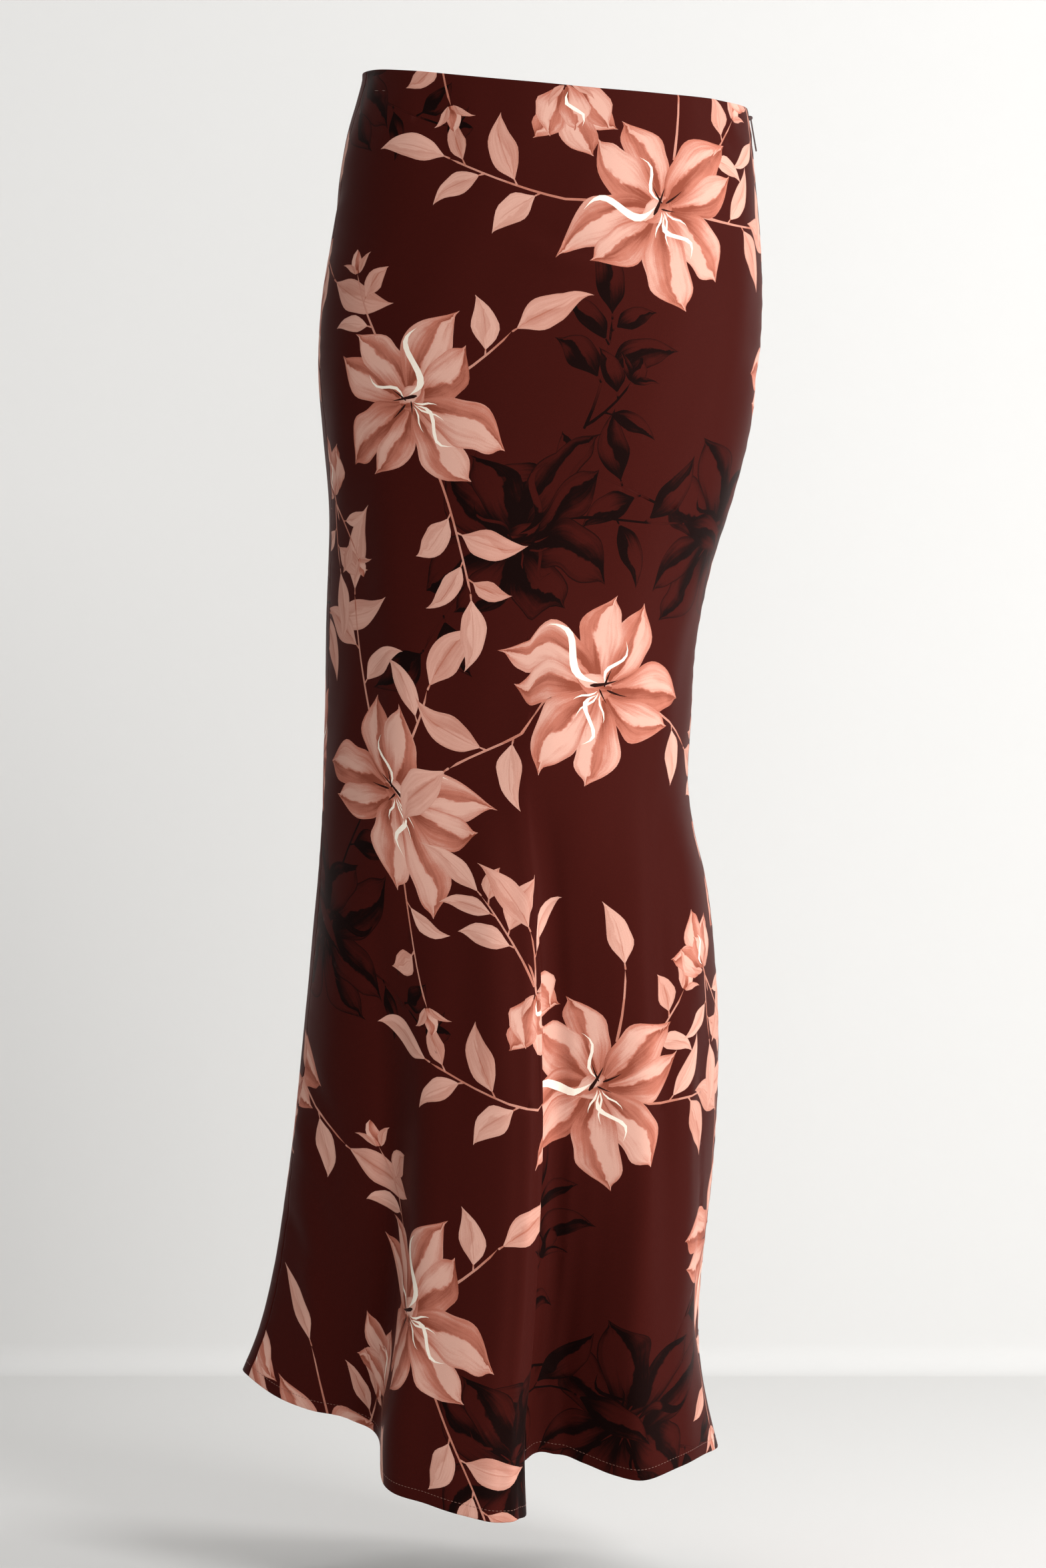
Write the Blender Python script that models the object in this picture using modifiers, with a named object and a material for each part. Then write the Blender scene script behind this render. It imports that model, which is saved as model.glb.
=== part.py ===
"""Ankle-length bias-cut skirt with a plain waist edge, a side zip and a flared hem.

Metres, +Z up. The origin is the middle of the waist opening, where the wearer holds the skirt. The front
faces -Y and the zipped side seam is at +X. The skirt is posed as it is worn: waist tilted, drawn in at knee
height, and flared below it in soft folds, with one deep fold in front.
"""

from math import cos, radians, sin, tan

import bmesh
import bpy
import numpy as np
from mathutils import Matrix, Vector

# Driving dimensions -------------------------------------------------------------------------------------

WALL = 0.0015  # thickness of the cloth wall
HEM_WALL = 0.0024  # thickness where the hem is turned up
HEM_DEPTH = 0.012  # height of the turned-up hem
HEM_STEP = 0.0015  # height over which the wall thickens to the hem
GAP = 0.0003  # between neighbouring pieces

WAIST_TILT = radians(5.26)  # the waist is higher at the left, -X
SIDE_RISE = 0.0050  # the waist edge stands this much over the origin at the sides and back
FRONT_DIP = 0.0064  # and is this much lower at the middle of the front
ROUNDNESS = 2.25  # exponent of a ring: 2 is an ellipse, more is squarer
HEM_DROP = 1.000  # about the length of the cloth from waist to hem
GROWTH = 1.5  # how a fold deepens from where it begins to the hem

# Side seams, as turns round the body in degrees: 0 is the side at +X, 90 the back, 180 the side at -X and
# 270 the front.
LEFT_SEAM = 192.0
ZIP_SEAM = 356.5

# Rings round the body: drop below the waist, x of the left and right sides, y of the front and back.
SECTION_COLUMNS = ("drop", "left", "right", "front", "back")
SECTIONS = (
    (-0.013, -0.1365, 0.1350, -0.096, 0.090),
    (0.000, -0.1400, 0.1362, -0.098, 0.094),
    (0.024, -0.1470, 0.1400, -0.101, 0.101),
    (0.048, -0.1517, 0.1426, -0.103, 0.108),
    (0.095, -0.1584, 0.1469, -0.106, 0.119),
    (0.143, -0.1665, 0.1484, -0.107, 0.127),
    (0.190, -0.1686, 0.1462, -0.107, 0.131),
    (0.238, -0.1650, 0.1402, -0.106, 0.132),
    (0.286, -0.1612, 0.1278, -0.105, 0.131),
    (0.333, -0.1608, 0.1124, -0.104, 0.130),
    (0.381, -0.1619, 0.1026, -0.104, 0.129),
    (0.440, -0.1636, 0.0985, -0.104, 0.128),
    (0.490, -0.1650, 0.0964, -0.103, 0.127),
    (0.520, -0.1659, 0.1010, -0.103, 0.127),
    (0.550, -0.1680, 0.1082, -0.103, 0.127),
    (0.619, -0.1746, 0.1150, -0.104, 0.128),
    (0.690, -0.1812, 0.1174, -0.105, 0.130),
    (0.762, -0.1884, 0.1130, -0.106, 0.133),
    (0.833, -0.1979, 0.1060, -0.108, 0.137),
    (0.881, -0.2100, 0.1025, -0.109, 0.140),
    (0.930, -0.2290, 0.1045, -0.110, 0.143),
    (0.990, -0.2440, 0.1110, -0.112, 0.146),
)

# Folds at the hem, round the body: turn, where the hem runs there, and the drop at which that fold begins.
FOLD_COLUMNS = ("turn", "x", "y", "z", "begins")
FOLDS = (
    (16.0, 0.1000, 0.0620, -0.955, 0.74),  # behind the zip seam
    (36.0, 0.1000, 0.1240, -0.956, 0.34),  # back right crest
    (55.0, 0.0570, 0.1150, -0.952, 0.33),  # back right valley
    (76.0, 0.0080, 0.1860, -0.954, 0.30),  # back middle crest
    (97.0, -0.0560, 0.1270, -0.948, 0.32),  # back middle valley
    (119.0, -0.1140, 0.1760, -0.946, 0.34),  # back left crest
    (143.0, -0.1580, 0.1060, -0.934, 0.42),  # back left valley
    (165.0, -0.2030, 0.0780, -0.920, 0.53),  # back of the flare
    (190.0, -0.2214, 0.0180, -0.911, 0.60),  # tip of the flare
    (202.0, -0.1990, -0.0060, -0.924, 0.60),  # front of the flare
    (214.0, -0.1740, -0.0240, -0.932, 0.60),  # middle of the flare
    (228.0, -0.1440, -0.0420, -0.937, 0.59),  # side panel of the flare
    (238.0, -0.1230, -0.0600, -0.948, 0.57),  # left valley
    (246.0, -0.1175, -0.1340, -0.970, 0.54),  # left flank of the front fold
    (255.0, -0.0872, -0.1630, -0.979, 0.51),  # shoulder of the front fold
    (263.0, -0.0625, -0.1760, -0.985, 0.48),  # middle of the front fold
    (269.0, -0.0380, -0.1800, -0.989, 0.47),  # crest of the front fold
    (272.5, -0.0240, -0.1710, -0.988, 0.46),  # turn of the crest
    (274.5, -0.0195, -0.1500, -0.985, 0.46),  # lip of the front fold
    (275.8, -0.0310, -0.1180, -0.973, 0.46),  # under the lip
    (278.5, -0.0170, -0.0830, -0.958, 0.46),  # valley behind the front fold
    (283.0, 0.0010, -0.0740, -0.957, 0.46),  # floor of the valley
    (290.0, 0.0190, -0.0790, -0.962, 0.46),  # right of the valley
    (298.0, 0.0400, -0.0900, -0.969, 0.46),  # rise to the right crest
    (307.0, 0.0610, -0.0980, -0.972, 0.46),  # right front crest
    (318.0, 0.0868, -0.0800, -0.965, 0.50),  # right front flank
    (333.0, 0.1055, -0.0500, -0.960, 0.70),  # right side of the front
    (346.0, 0.1163, -0.0150, -0.959, 0.84),  # right end of the front
    (356.5, 0.1140, 0.0180, -0.957, 0.84),  # zip seam
)

# Grid of the cloth.
RING_SAMPLES = 1200  # points along a panel's ring, from which its columns are read
COLUMNS = 44  # even columns across a panel
ROWS = 27  # even rows down a panel
WAIST_ROWS = (0.0, 0.006, 0.013, 0.022)  # close rows under the waist edge, as drops
SEAM_COLUMNS = (0.0, 0.0025, 0.0120)  # close columns beside a seam, as distances from it

# Zip at the right-hand seam, +X.
ZIP_LENGTH = 0.20
NOTCH_GAP = 0.0014  # half the opening of the seam at the slider
NOTCH_DEPTH = 0.024  # the seam closes by this depth under the waist edge
TAPE_WALL = 0.0010
COIL_WIDTH = 0.0042
COIL_WALL = 0.0016
COIL_CLEAR = 0.0008  # between the slider's lower end and the coil
SLIDER_DROP = 0.0068  # of the pull's pin under the waist edge at the seam
SLIDER_BODY = (0.0030, 0.0042, 0.0085)  # depth, width and height of the body behind the seam
NECK_THICK = 0.0012
NECK_HEIGHT = 0.0034
PIN_OUT = 0.0019  # of the pin's axis outside the cloth
PIN_RADIUS = 0.0005
EYE_RADIUS = 0.0008
NOSE_RADIUS = 0.0015  # of the rounded end of the neck round the pin
CHEEK_THICK = 0.0007
CHEEK_RADIUS = 0.0013
PULL_LENGTH = 0.0240
PULL_WIDTH = 0.0052
PULL_THICK = 0.0011
PULL_NECK = 0.0021  # from the pin to the top of the tab
TAB_TOP = 0.30  # half-width of the tab's top, as a share of its width
TAB_TIP = 0.0004  # half-width of its lower end
TAB_WIDEST = 0.72  # how far down it is widest
TAB_STEPS = 12
TRIM = 0.98  # what is joined to a piece of the same thickness is this much thinner, so that no faces coincide

CLOTH_COLOUR = (0.085, 0.020, 0.019)
TAPE_COLOUR = (0.055, 0.014, 0.014)
METAL_COLOUR = (0.050, 0.016, 0.015)


# The form of the skirt ----------------------------------------------------------------------------------


def smooth_through(at, places, values):
    """A smooth curve through the values at the places, read at each point of at."""
    slopes = np.gradient(values, places)
    i = np.clip(np.searchsorted(places, at) - 1, 0, len(places) - 2)
    span = places[i + 1] - places[i]
    t = (at - places[i]) / span
    start = (2 * t**3 - 3 * t**2 + 1) * values[i] + (t**3 - 2 * t**2 + t) * span * slopes[i]
    end = (3 * t**2 - 2 * t**3) * values[i + 1] + (t**3 - t**2) * span * slopes[i + 1]
    return start + end


def column(table, names, name):
    """One named column of a table."""
    return np.array([row[names.index(name)] for row in table])


def section(drop, name):
    """A side, front or back of the ring at each drop."""
    drops = column(SECTIONS, SECTION_COLUMNS, "drop")
    return smooth_through(np.clip(drop, drops[0], drops[-1]), drops, column(SECTIONS, SECTION_COLUMNS, name))


def round_hem(turn, name):
    """A column of the fold table at each turn, smooth all round the hem."""
    turns = column(FOLDS, FOLD_COLUMNS, "turn")
    values = column(FOLDS, FOLD_COLUMNS, name)
    whole = np.concatenate([turns - 360.0, turns, turns + 360.0])
    return smooth_through(turn % 360.0, whole, np.tile(values, 3))


def plain_ring(turn, drop):
    """x and y of the ring without folds."""
    left, right = section(drop, "left"), section(drop, "right")
    front, back = section(drop, "front"), section(drop, "back")
    across, along = np.cos(np.radians(turn)), np.sin(np.radians(turn))
    x = (left + right) / 2 + (right - left) / 2 * np.sign(across) * abs(across) ** (2 / ROUNDNESS)
    y = (front + back) / 2 + (back - front) / 2 * np.sign(along) * abs(along) ** (2 / ROUNDNESS)
    return x, y


def waist_height(turn):
    """z of the waist edge: tilted across, and dipping at the middle of the front."""
    x, _ = plain_ring(turn, np.zeros_like(turn))
    front = np.clip(-np.sin(np.radians(turn)), 0.0, 1.0)
    return SIDE_RISE - x * tan(WAIST_TILT) - FRONT_DIP * front**2


def cloth_points(turn, fall):
    """Points of the cloth's outer face. fall is 0 at the waist edge and 1 at the hem."""
    hem = round_hem(turn, "z")
    z = waist_height(turn) * (1 - fall) + hem * fall
    x, y = plain_ring(turn, -z)
    plain_x, plain_y = plain_ring(turn, -hem)
    begins = round_hem(turn, "begins")
    depth = np.clip((-z - begins) / (-hem - begins), 0.0, 1.2) ** GROWTH
    x = x + depth * (round_hem(turn, "x") - plain_x)
    y = y + depth * (round_hem(turn, "y") - plain_y)
    return np.stack([x, y, z], axis=-1)


def notch(fall):
    """Half the opening of the zip seam: wide at the slider and closed below it."""
    shut = np.clip(fall * HEM_DROP / NOTCH_DEPTH, 0.0, 1.0)
    return GAP / 2 + (NOTCH_GAP - GAP / 2) * (1 - shut**2) ** 2


def ring_run(turns, fall):
    """Points of the cloth at these turns, and how far along the ring each one is from the first."""
    ring = cloth_points(turns, fall)
    return ring, np.concatenate([[0.0], np.cumsum(np.linalg.norm(np.diff(ring, axis=0), axis=1))])


def cloth_grid(start, end, falls, places):
    """Rows of points between two turns. places gives how far along a row each of its columns stands."""
    turns = np.linspace(start, end, RING_SAMPLES)
    rows = []
    for fall in falls:
        ring, run = ring_run(turns, fall)
        at = places(turns, run, fall)
        rows.append(np.stack([np.interp(at, run, ring[:, k]) for k in range(3)], axis=1))
    return np.array(rows)


def row_falls():
    """How far down each row of a panel is, from 0 at the waist edge to 1 at the hem."""
    below = np.array(WAIST_ROWS) / HEM_DROP
    hem = 1 - np.array([HEM_DEPTH + HEM_STEP, HEM_DEPTH, 0.0]) / HEM_DROP
    even = np.linspace(below[-1], hem[0], ROWS + 2)[1:-1]
    return np.concatenate([below, even, hem])


def panel_places(start, end, zip_first):
    """Columns of a panel: close beside both seams, and between them at fixed turns, to follow the folds.

    The turns are spaced so that the columns are about as even at the waist as at the hem.
    """
    turns = np.linspace(start, end, RING_SAMPLES)
    runs = [ring_run(turns, fall)[1] for fall in (0.0, 1.0)]
    share = sum(run / run[-1] for run in runs) / len(runs)
    middle_turns = np.interp(np.linspace(0.0, 1.0, COLUMNS + 2)[1:-1], share, turns)

    def places(turns, run, fall):
        first, last = (notch(fall), GAP / 2) if zip_first else (GAP / 2, notch(fall))
        beside = np.array(SEAM_COLUMNS)
        beside_first = np.maximum(beside, first)
        beside_last = run[-1] - np.maximum(beside, last)[::-1]
        along = np.interp(middle_turns, turns, run) / run[-1]
        middle = beside_first[-1] + along * (beside_last[0] - beside_first[-1])
        return np.concatenate([beside_first, middle, beside_last])

    return places


def inward(grid, distance):
    """A grid of points moved into the skirt, square to the cloth."""
    along, down = np.gradient(grid, axis=1), np.gradient(grid, axis=0)
    normal = np.cross(along, down)
    return grid + distance * normal / np.linalg.norm(normal, axis=-1, keepdims=True)


# Making the pieces --------------------------------------------------------------------------------------


def clear_scene():
    for old in list(bpy.data.objects):
        bpy.data.objects.remove(old, do_unlink=True)


def finish_material(name, colour, roughness, metallic=0.0):
    material = bpy.data.materials.new(name)
    material.use_nodes = True
    shader = material.node_tree.nodes["Principled BSDF"]
    shader.inputs["Base Color"].default_value = (*colour, 1.0)
    shader.inputs["Roughness"].default_value = roughness
    shader.inputs["Metallic"].default_value = metallic
    return material


def add_object(name, mesh, material, collection):
    mesh.materials.append(material)
    mesh.shade_smooth()
    made = bpy.data.objects.new(name, mesh)
    collection.objects.link(made)
    return made


def cloth_sheet(name, grid, material, collection):
    """An open sheet on a grid of points: rows run down the skirt, and columns anticlockwise round it.

    The vertices of its last two rows are in the group that the hem's turning thickens.
    """
    rows, columns = grid.shape[:2]
    sheet = bmesh.new()
    bmesh.ops.create_grid(sheet, x_segments=columns - 1, y_segments=rows - 1, size=1.0)
    sheet.verts.index_update()
    hem_verts = []
    for vert in sheet.verts:
        j = round((vert.co.x + 1) / 2 * (columns - 1))
        i = round((1 - vert.co.y) / 2 * (rows - 1))
        vert.co = grid[i, j]
        if i >= rows - 2:
            hem_verts.append(vert.index)
    mesh = bpy.data.meshes.new(name)
    sheet.to_mesh(mesh)
    sheet.free()
    made = add_object(name, mesh, material, collection)
    made.vertex_groups.new(name="hem").add(hem_verts, 1.0, "REPLACE")
    return made


def thicken(sheet, wall):
    """Gives a sheet its wall, grown into the skirt."""
    solid = sheet.modifiers.new("wall", "SOLIDIFY")
    solid.thickness = wall
    solid.offset = -1.0
    return solid


def make_panel(name, start, end, zip_first, material, collection):
    """A front or back panel, with the hem turned up inside its lower edge."""
    grid = cloth_grid(start, end, row_falls(), panel_places(start, end, zip_first))
    panel = cloth_sheet(name, grid, material, collection)
    wall = thicken(panel, HEM_WALL)
    wall.vertex_group = "hem"
    wall.thickness_vertex_group = WALL / HEM_WALL
    return panel


def zip_falls():
    """The panel's own rows as far down as the zip runs."""
    falls = row_falls()
    return falls[falls * HEM_DROP <= ZIP_LENGTH]


def make_tape(name, start, end, from_start, material, collection):
    """Half of the zip's tape, inside a panel and made from the panel's own columns beside the seam."""
    near, far = SEAM_COLUMNS[1], SEAM_COLUMNS[2]

    def places(_turns, run, _fall):
        return np.array([near, far]) if from_start else run[-1] - np.array([far, near])

    grid = inward(cloth_grid(start, end, zip_falls(), places), WALL + GAP)
    tape = cloth_sheet(name, grid, material, collection)
    thicken(tape, TAPE_WALL)
    return tape


def make_coil(material, collection):
    """The closed coil, a strip behind the seam from under the slider to the zip's lower end."""
    top = SLIDER_DROP + SLIDER_BODY[2] / 2 + COIL_CLEAR
    falls = np.concatenate([[top / HEM_DROP], [f for f in zip_falls() if f * HEM_DROP > top + HEM_STEP]])
    reach = 10.0  # turn, to either side of the seam

    def places_before(_turns, run, _fall):
        return run[-1] - np.array([COIL_WIDTH / 2, 0.0])

    def places_after(_turns, _run, _fall):
        return np.array([COIL_WIDTH / 2])

    before = cloth_grid(ZIP_SEAM - reach, ZIP_SEAM, falls, places_before)
    after = cloth_grid(ZIP_SEAM, ZIP_SEAM + reach, falls, places_after)
    grid = inward(np.concatenate([before, after], axis=1), WALL + GAP)
    coil = cloth_sheet("zip_coil", grid, material, collection)
    thicken(coil, COIL_WALL)
    return coil


def seam_frame():
    """A frame on the zip seam at the slider: X out of the cloth, Y back along it and Z up the seam."""
    step = 0.001
    turns = np.array([ZIP_SEAM - 1, ZIP_SEAM, ZIP_SEAM + 1])
    ring = cloth_points(turns, SLIDER_DROP / HEM_DROP)
    below = cloth_points(turns, SLIDER_DROP / HEM_DROP + step)
    at = Vector(ring[1])
    up = (at - Vector(below[1])).normalized()
    out = Vector(ring[2] - ring[0]).cross(up).normalized()
    turn = Matrix((out, up.cross(out), up)).transposed()
    return Matrix.Translation(at) @ turn.to_4x4()


def add_pivot(name, out, collection):
    """An empty on the zip seam, this far out of the cloth, that carries what is made round it."""
    pivot = bpy.data.objects.new(name, None)
    pivot.matrix_world = seam_frame() @ Matrix.Translation((out, 0.0, 0.0))
    pivot.empty_display_size = PULL_LENGTH
    collection.objects.link(pivot)
    return pivot


def add_box(shape, centre, size):
    place = Matrix.Translation(centre) @ Matrix.Diagonal((*size, 1.0))
    return bmesh.ops.create_cube(shape, size=1.0, matrix=place)["verts"]


def add_rod(shape, centre, radius, length, segments=24):
    """A round bar along Y."""
    place = Matrix.Translation(centre) @ Matrix.Rotation(radians(90), 4, "X")
    return bmesh.ops.create_cone(
        shape, cap_ends=True, segments=segments, radius1=radius, radius2=radius, depth=length, matrix=place
    )["verts"]


def solid_from(name, draw, material, collection):
    shape = bmesh.new()
    draw(shape)
    mesh = bpy.data.meshes.new(name)
    shape.to_mesh(mesh)
    shape.free()
    return add_object(name, mesh, material, collection)


def join_with(target, other, operation, pivot, cutters):
    """Joins or cuts target with other, which stays in the file only as a guide."""
    for collection in list(other.users_collection):
        collection.objects.unlink(other)
    cutters.objects.link(other)
    other.parent = pivot
    other.hide_render = True
    other.display_type = "WIRE"
    step = target.modifiers.new(other.name, "BOOLEAN")
    step.operation = operation
    step.object = other
    step.use_self = True


def make_slider(material, collection, cutters):
    """The slider: a body behind the seam, and a neck through the notch with an eye for the pull's pin."""
    depth, width, _ = SLIDER_BODY
    inner = -WALL - GAP - depth / 2
    neck_back = inner - depth / 4
    pivot = add_pivot("zip_slider_place", 0.0, collection)

    def body(shape):
        add_box(shape, (inner, 0.0, 0.0), SLIDER_BODY)

    def neck(shape):
        add_box(shape, ((neck_back + PIN_OUT) / 2, 0.0, 0.0), (PIN_OUT - neck_back, NECK_THICK, NECK_HEIGHT))

    def nose(shape):
        add_rod(shape, (PIN_OUT, 0.0, 0.0), NOSE_RADIUS, NECK_THICK * TRIM)

    def eye(shape):
        add_rod(shape, (PIN_OUT, 0.0, 0.0), EYE_RADIUS, width)

    slider = solid_from("zip_slider", body, material, collection)
    slider.parent = pivot
    for name, draw, operation in (
        ("slider_neck", neck, "UNION"),
        ("slider_nose", nose, "UNION"),
        ("slider_eye", eye, "DIFFERENCE"),
    ):
        join_with(slider, solid_from(name, draw, material, collection), operation, pivot, cutters)
    return slider


def tab_outline():
    """Half of the teardrop tab, as distance below the pin and half-width."""
    top = PULL_WIDTH * TAB_TOP
    rows = [(PULL_NECK, top)]
    for step in range(1, TAB_STEPS + 1):
        share = step / TAB_STEPS
        below = PULL_NECK + (PULL_LENGTH - PULL_NECK) * share
        swell = sin(radians(90) * min(1.0, share / TAB_WIDEST)) ** 1.6
        past = max(0.0, (share - TAB_WIDEST) / (1 - TAB_WIDEST))
        half = (top + (PULL_WIDTH / 2 - top) * swell) * cos(radians(90) * past) ** 0.5
        rows.append((below, max(TAB_TIP, half)))
    return rows


def make_pull(material, collection, cutters):
    """The pull: a pin between two cheeks, and a teardrop tab that hangs from them along the cloth."""
    pivot = add_pivot("zip_pull_pivot", PIN_OUT, collection)
    cheek_middle = NECK_THICK / 2 + GAP + CHEEK_THICK / 2

    def rod(shape):
        add_rod(shape, (0.0, 0.0, 0.0), PIN_RADIUS, 2 * cheek_middle)

    def cheeks(shape):
        low = -(PULL_NECK + CHEEK_THICK)
        for side in (-1, 1):
            middle = side * cheek_middle
            add_rod(shape, (0.0, middle, 0.0), CHEEK_RADIUS, CHEEK_THICK)
            add_box(shape, (0.0, middle, low / 2), (PULL_THICK * TRIM, CHEEK_THICK * TRIM, -low))

    def tab(shape):
        outline = tab_outline()
        right = [shape.verts.new((-PULL_THICK / 2, half, -below)) for below, half in outline]
        left = [shape.verts.new((-PULL_THICK / 2, -half, -below)) for below, half in reversed(outline)]
        face = shape.faces.new(right + left)
        grown = bmesh.ops.extrude_face_region(shape, geom=[face])["geom"]
        moved = [v for v in grown if isinstance(v, bmesh.types.BMVert)]
        bmesh.ops.translate(shape, verts=moved, vec=(PULL_THICK, 0.0, 0.0))
        bmesh.ops.recalc_face_normals(shape, faces=shape.faces)

    pull = solid_from("zip_pull", tab, material, collection)
    pull.parent = pivot
    for name, draw in (("pull_pin", rod), ("pull_cheeks", cheeks)):
        join_with(pull, solid_from(name, draw, material, collection), "UNION", pivot, cutters)
    return pull


def make_skirt():
    clear_scene()
    skirt = bpy.data.collections.new("bias_skirt")
    cutters = bpy.data.collections.new("cutters")
    bpy.context.scene.collection.children.link(skirt)
    bpy.context.scene.collection.children.link(cutters)
    cloth = finish_material("printed_satin", CLOTH_COLOUR, 0.45)
    tape = finish_material("zip_tape", TAPE_COLOUR, 0.80)
    coil = finish_material("zip_coil", TAPE_COLOUR, 0.55)
    metal = finish_material("painted_zip_metal", METAL_COLOUR, 0.35, 0.6)
    front = (LEFT_SEAM, ZIP_SEAM)
    back = (ZIP_SEAM, LEFT_SEAM + 360.0)
    make_panel("front_panel", *front, False, cloth, skirt)
    make_panel("back_panel", *back, True, cloth, skirt)
    make_tape("zip_tape_front", *front, False, tape, skirt)
    make_tape("zip_tape_back", *back, True, tape, skirt)
    make_coil(coil, skirt)
    make_slider(metal, skirt, cutters)
    make_pull(metal, skirt, cutters)


make_skirt()
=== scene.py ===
"""Looks of an ankle-length bias-cut skirt in printed satin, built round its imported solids. Metres, +Z up."""

from math import cos, radians, sin, tan

import bmesh
import bpy
import numpy as np
from mathutils import Matrix, Vector
from mathutils.geometry import delaunay_2d_cdt
from mathutils.kdtree import KDTree


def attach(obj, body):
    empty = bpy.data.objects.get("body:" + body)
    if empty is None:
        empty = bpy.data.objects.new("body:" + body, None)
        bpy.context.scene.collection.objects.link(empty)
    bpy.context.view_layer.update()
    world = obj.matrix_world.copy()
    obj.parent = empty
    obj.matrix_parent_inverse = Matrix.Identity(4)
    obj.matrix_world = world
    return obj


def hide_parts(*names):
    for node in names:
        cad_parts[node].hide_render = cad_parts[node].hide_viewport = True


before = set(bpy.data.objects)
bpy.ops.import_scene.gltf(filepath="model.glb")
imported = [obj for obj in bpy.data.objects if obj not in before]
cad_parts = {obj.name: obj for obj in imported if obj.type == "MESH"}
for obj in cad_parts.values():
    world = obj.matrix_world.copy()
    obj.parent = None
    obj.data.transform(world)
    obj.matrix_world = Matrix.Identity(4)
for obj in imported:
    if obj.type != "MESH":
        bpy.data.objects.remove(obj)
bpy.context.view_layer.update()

for loaded in bpy.context.selected_objects:
    loaded.select_set(False)


# Front panel ---------------------------------------------------------------------------------------------
# The front of the skirt: one piece of printed polyester satin cut on the bias, so that it clings at the hips
# and falls in soft folds. Its waist edge and hem are turned in, and its sides are folded back as seam
# allowances where it is sewn to the back panel.

LEFT_SEAM = 192.0  # side seams, as turns round the body in degrees: 270 is the front, and the zip is at +X
ZIP_SEAM = 356.5
HEM_DROP = 1.000
WAIST_TILT = radians(5.26)
SIDE_RISE = 0.0050
FRONT_DIP = 0.0064
ROUNDNESS = 2.25
GROWTH = 1.5
SEAM_GAP = -0.0002  # between the folded edges, which press together
NOTCH_GAP = 0.0014
NOTCH_DEPTH = 0.024

CLOTH_THICK = 0.00045
TURN_RADIUS = 0.0006  # of the folded edges, measured on the outer face
SIDE_ALLOWANCE = 0.010
HEM_TURNING = 0.0095
WAIST_TURNING = 0.012

# Rings round the body: drop below the waist, x of the left and right sides, y of the front and back.
SECTION_COLUMNS = ("drop", "left", "right", "front", "back")
SECTIONS = (
    (-0.013, -0.1365, 0.1350, -0.096, 0.090),
    (0.000, -0.1400, 0.1362, -0.098, 0.094),
    (0.024, -0.1470, 0.1400, -0.101, 0.101),
    (0.048, -0.1517, 0.1426, -0.103, 0.108),
    (0.095, -0.1584, 0.1469, -0.106, 0.119),
    (0.143, -0.1665, 0.1484, -0.107, 0.127),
    (0.190, -0.1686, 0.1462, -0.107, 0.131),
    (0.238, -0.1650, 0.1402, -0.106, 0.132),
    (0.286, -0.1612, 0.1278, -0.105, 0.131),
    (0.333, -0.1608, 0.1124, -0.104, 0.130),
    (0.381, -0.1619, 0.1026, -0.104, 0.129),
    (0.440, -0.1636, 0.0985, -0.104, 0.128),
    (0.490, -0.1650, 0.0964, -0.103, 0.127),
    (0.520, -0.1659, 0.1010, -0.103, 0.127),
    (0.550, -0.1680, 0.1082, -0.103, 0.127),
    (0.619, -0.1746, 0.1150, -0.104, 0.128),
    (0.690, -0.1812, 0.1174, -0.105, 0.130),
    (0.762, -0.1884, 0.1130, -0.106, 0.133),
    (0.833, -0.1979, 0.1060, -0.108, 0.137),
    (0.881, -0.2100, 0.1025, -0.109, 0.140),
    (0.930, -0.2290, 0.1045, -0.110, 0.143),
    (0.990, -0.2440, 0.1110, -0.112, 0.146),
)

# Folds at the hem, round the body: turn, where the hem runs there, and the drop at which that fold begins.
FOLD_COLUMNS = ("turn", "x", "y", "z", "begins")
FOLDS = (
    (16.0, 0.1000, 0.0620, -0.955, 0.74),
    (36.0, 0.1000, 0.1240, -0.956, 0.34),
    (55.0, 0.0570, 0.1150, -0.952, 0.33),
    (76.0, 0.0080, 0.1860, -0.954, 0.30),
    (97.0, -0.0560, 0.1270, -0.948, 0.32),
    (119.0, -0.1140, 0.1760, -0.946, 0.34),
    (143.0, -0.1580, 0.1060, -0.934, 0.42),
    (165.0, -0.2030, 0.0780, -0.920, 0.53),
    (190.0, -0.2214, 0.0180, -0.911, 0.60),
    (202.0, -0.1990, -0.0060, -0.924, 0.60),
    (214.0, -0.1740, -0.0240, -0.932, 0.60),
    (228.0, -0.1440, -0.0420, -0.937, 0.59),
    (238.0, -0.1230, -0.0600, -0.948, 0.57),
    (246.0, -0.1175, -0.1340, -0.970, 0.54),
    (255.0, -0.0872, -0.1630, -0.979, 0.51),
    (263.0, -0.0625, -0.1760, -0.985, 0.48),
    (269.0, -0.0380, -0.1800, -0.989, 0.47),
    (272.5, -0.0240, -0.1710, -0.988, 0.46),
    (274.5, -0.0195, -0.1500, -0.985, 0.46),
    (275.8, -0.0310, -0.1180, -0.973, 0.46),
    (278.5, -0.0170, -0.0830, -0.958, 0.46),
    (283.0, 0.0010, -0.0740, -0.957, 0.46),
    (290.0, 0.0190, -0.0790, -0.962, 0.46),
    (298.0, 0.0400, -0.0900, -0.969, 0.46),
    (307.0, 0.0610, -0.0980, -0.972, 0.46),
    (318.0, 0.0868, -0.0800, -0.965, 0.50),
    (333.0, 0.1055, -0.0500, -0.960, 0.70),
    (346.0, 0.1163, -0.0150, -0.959, 0.84),
    (356.5, 0.1140, 0.0180, -0.957, 0.84),
)

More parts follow.
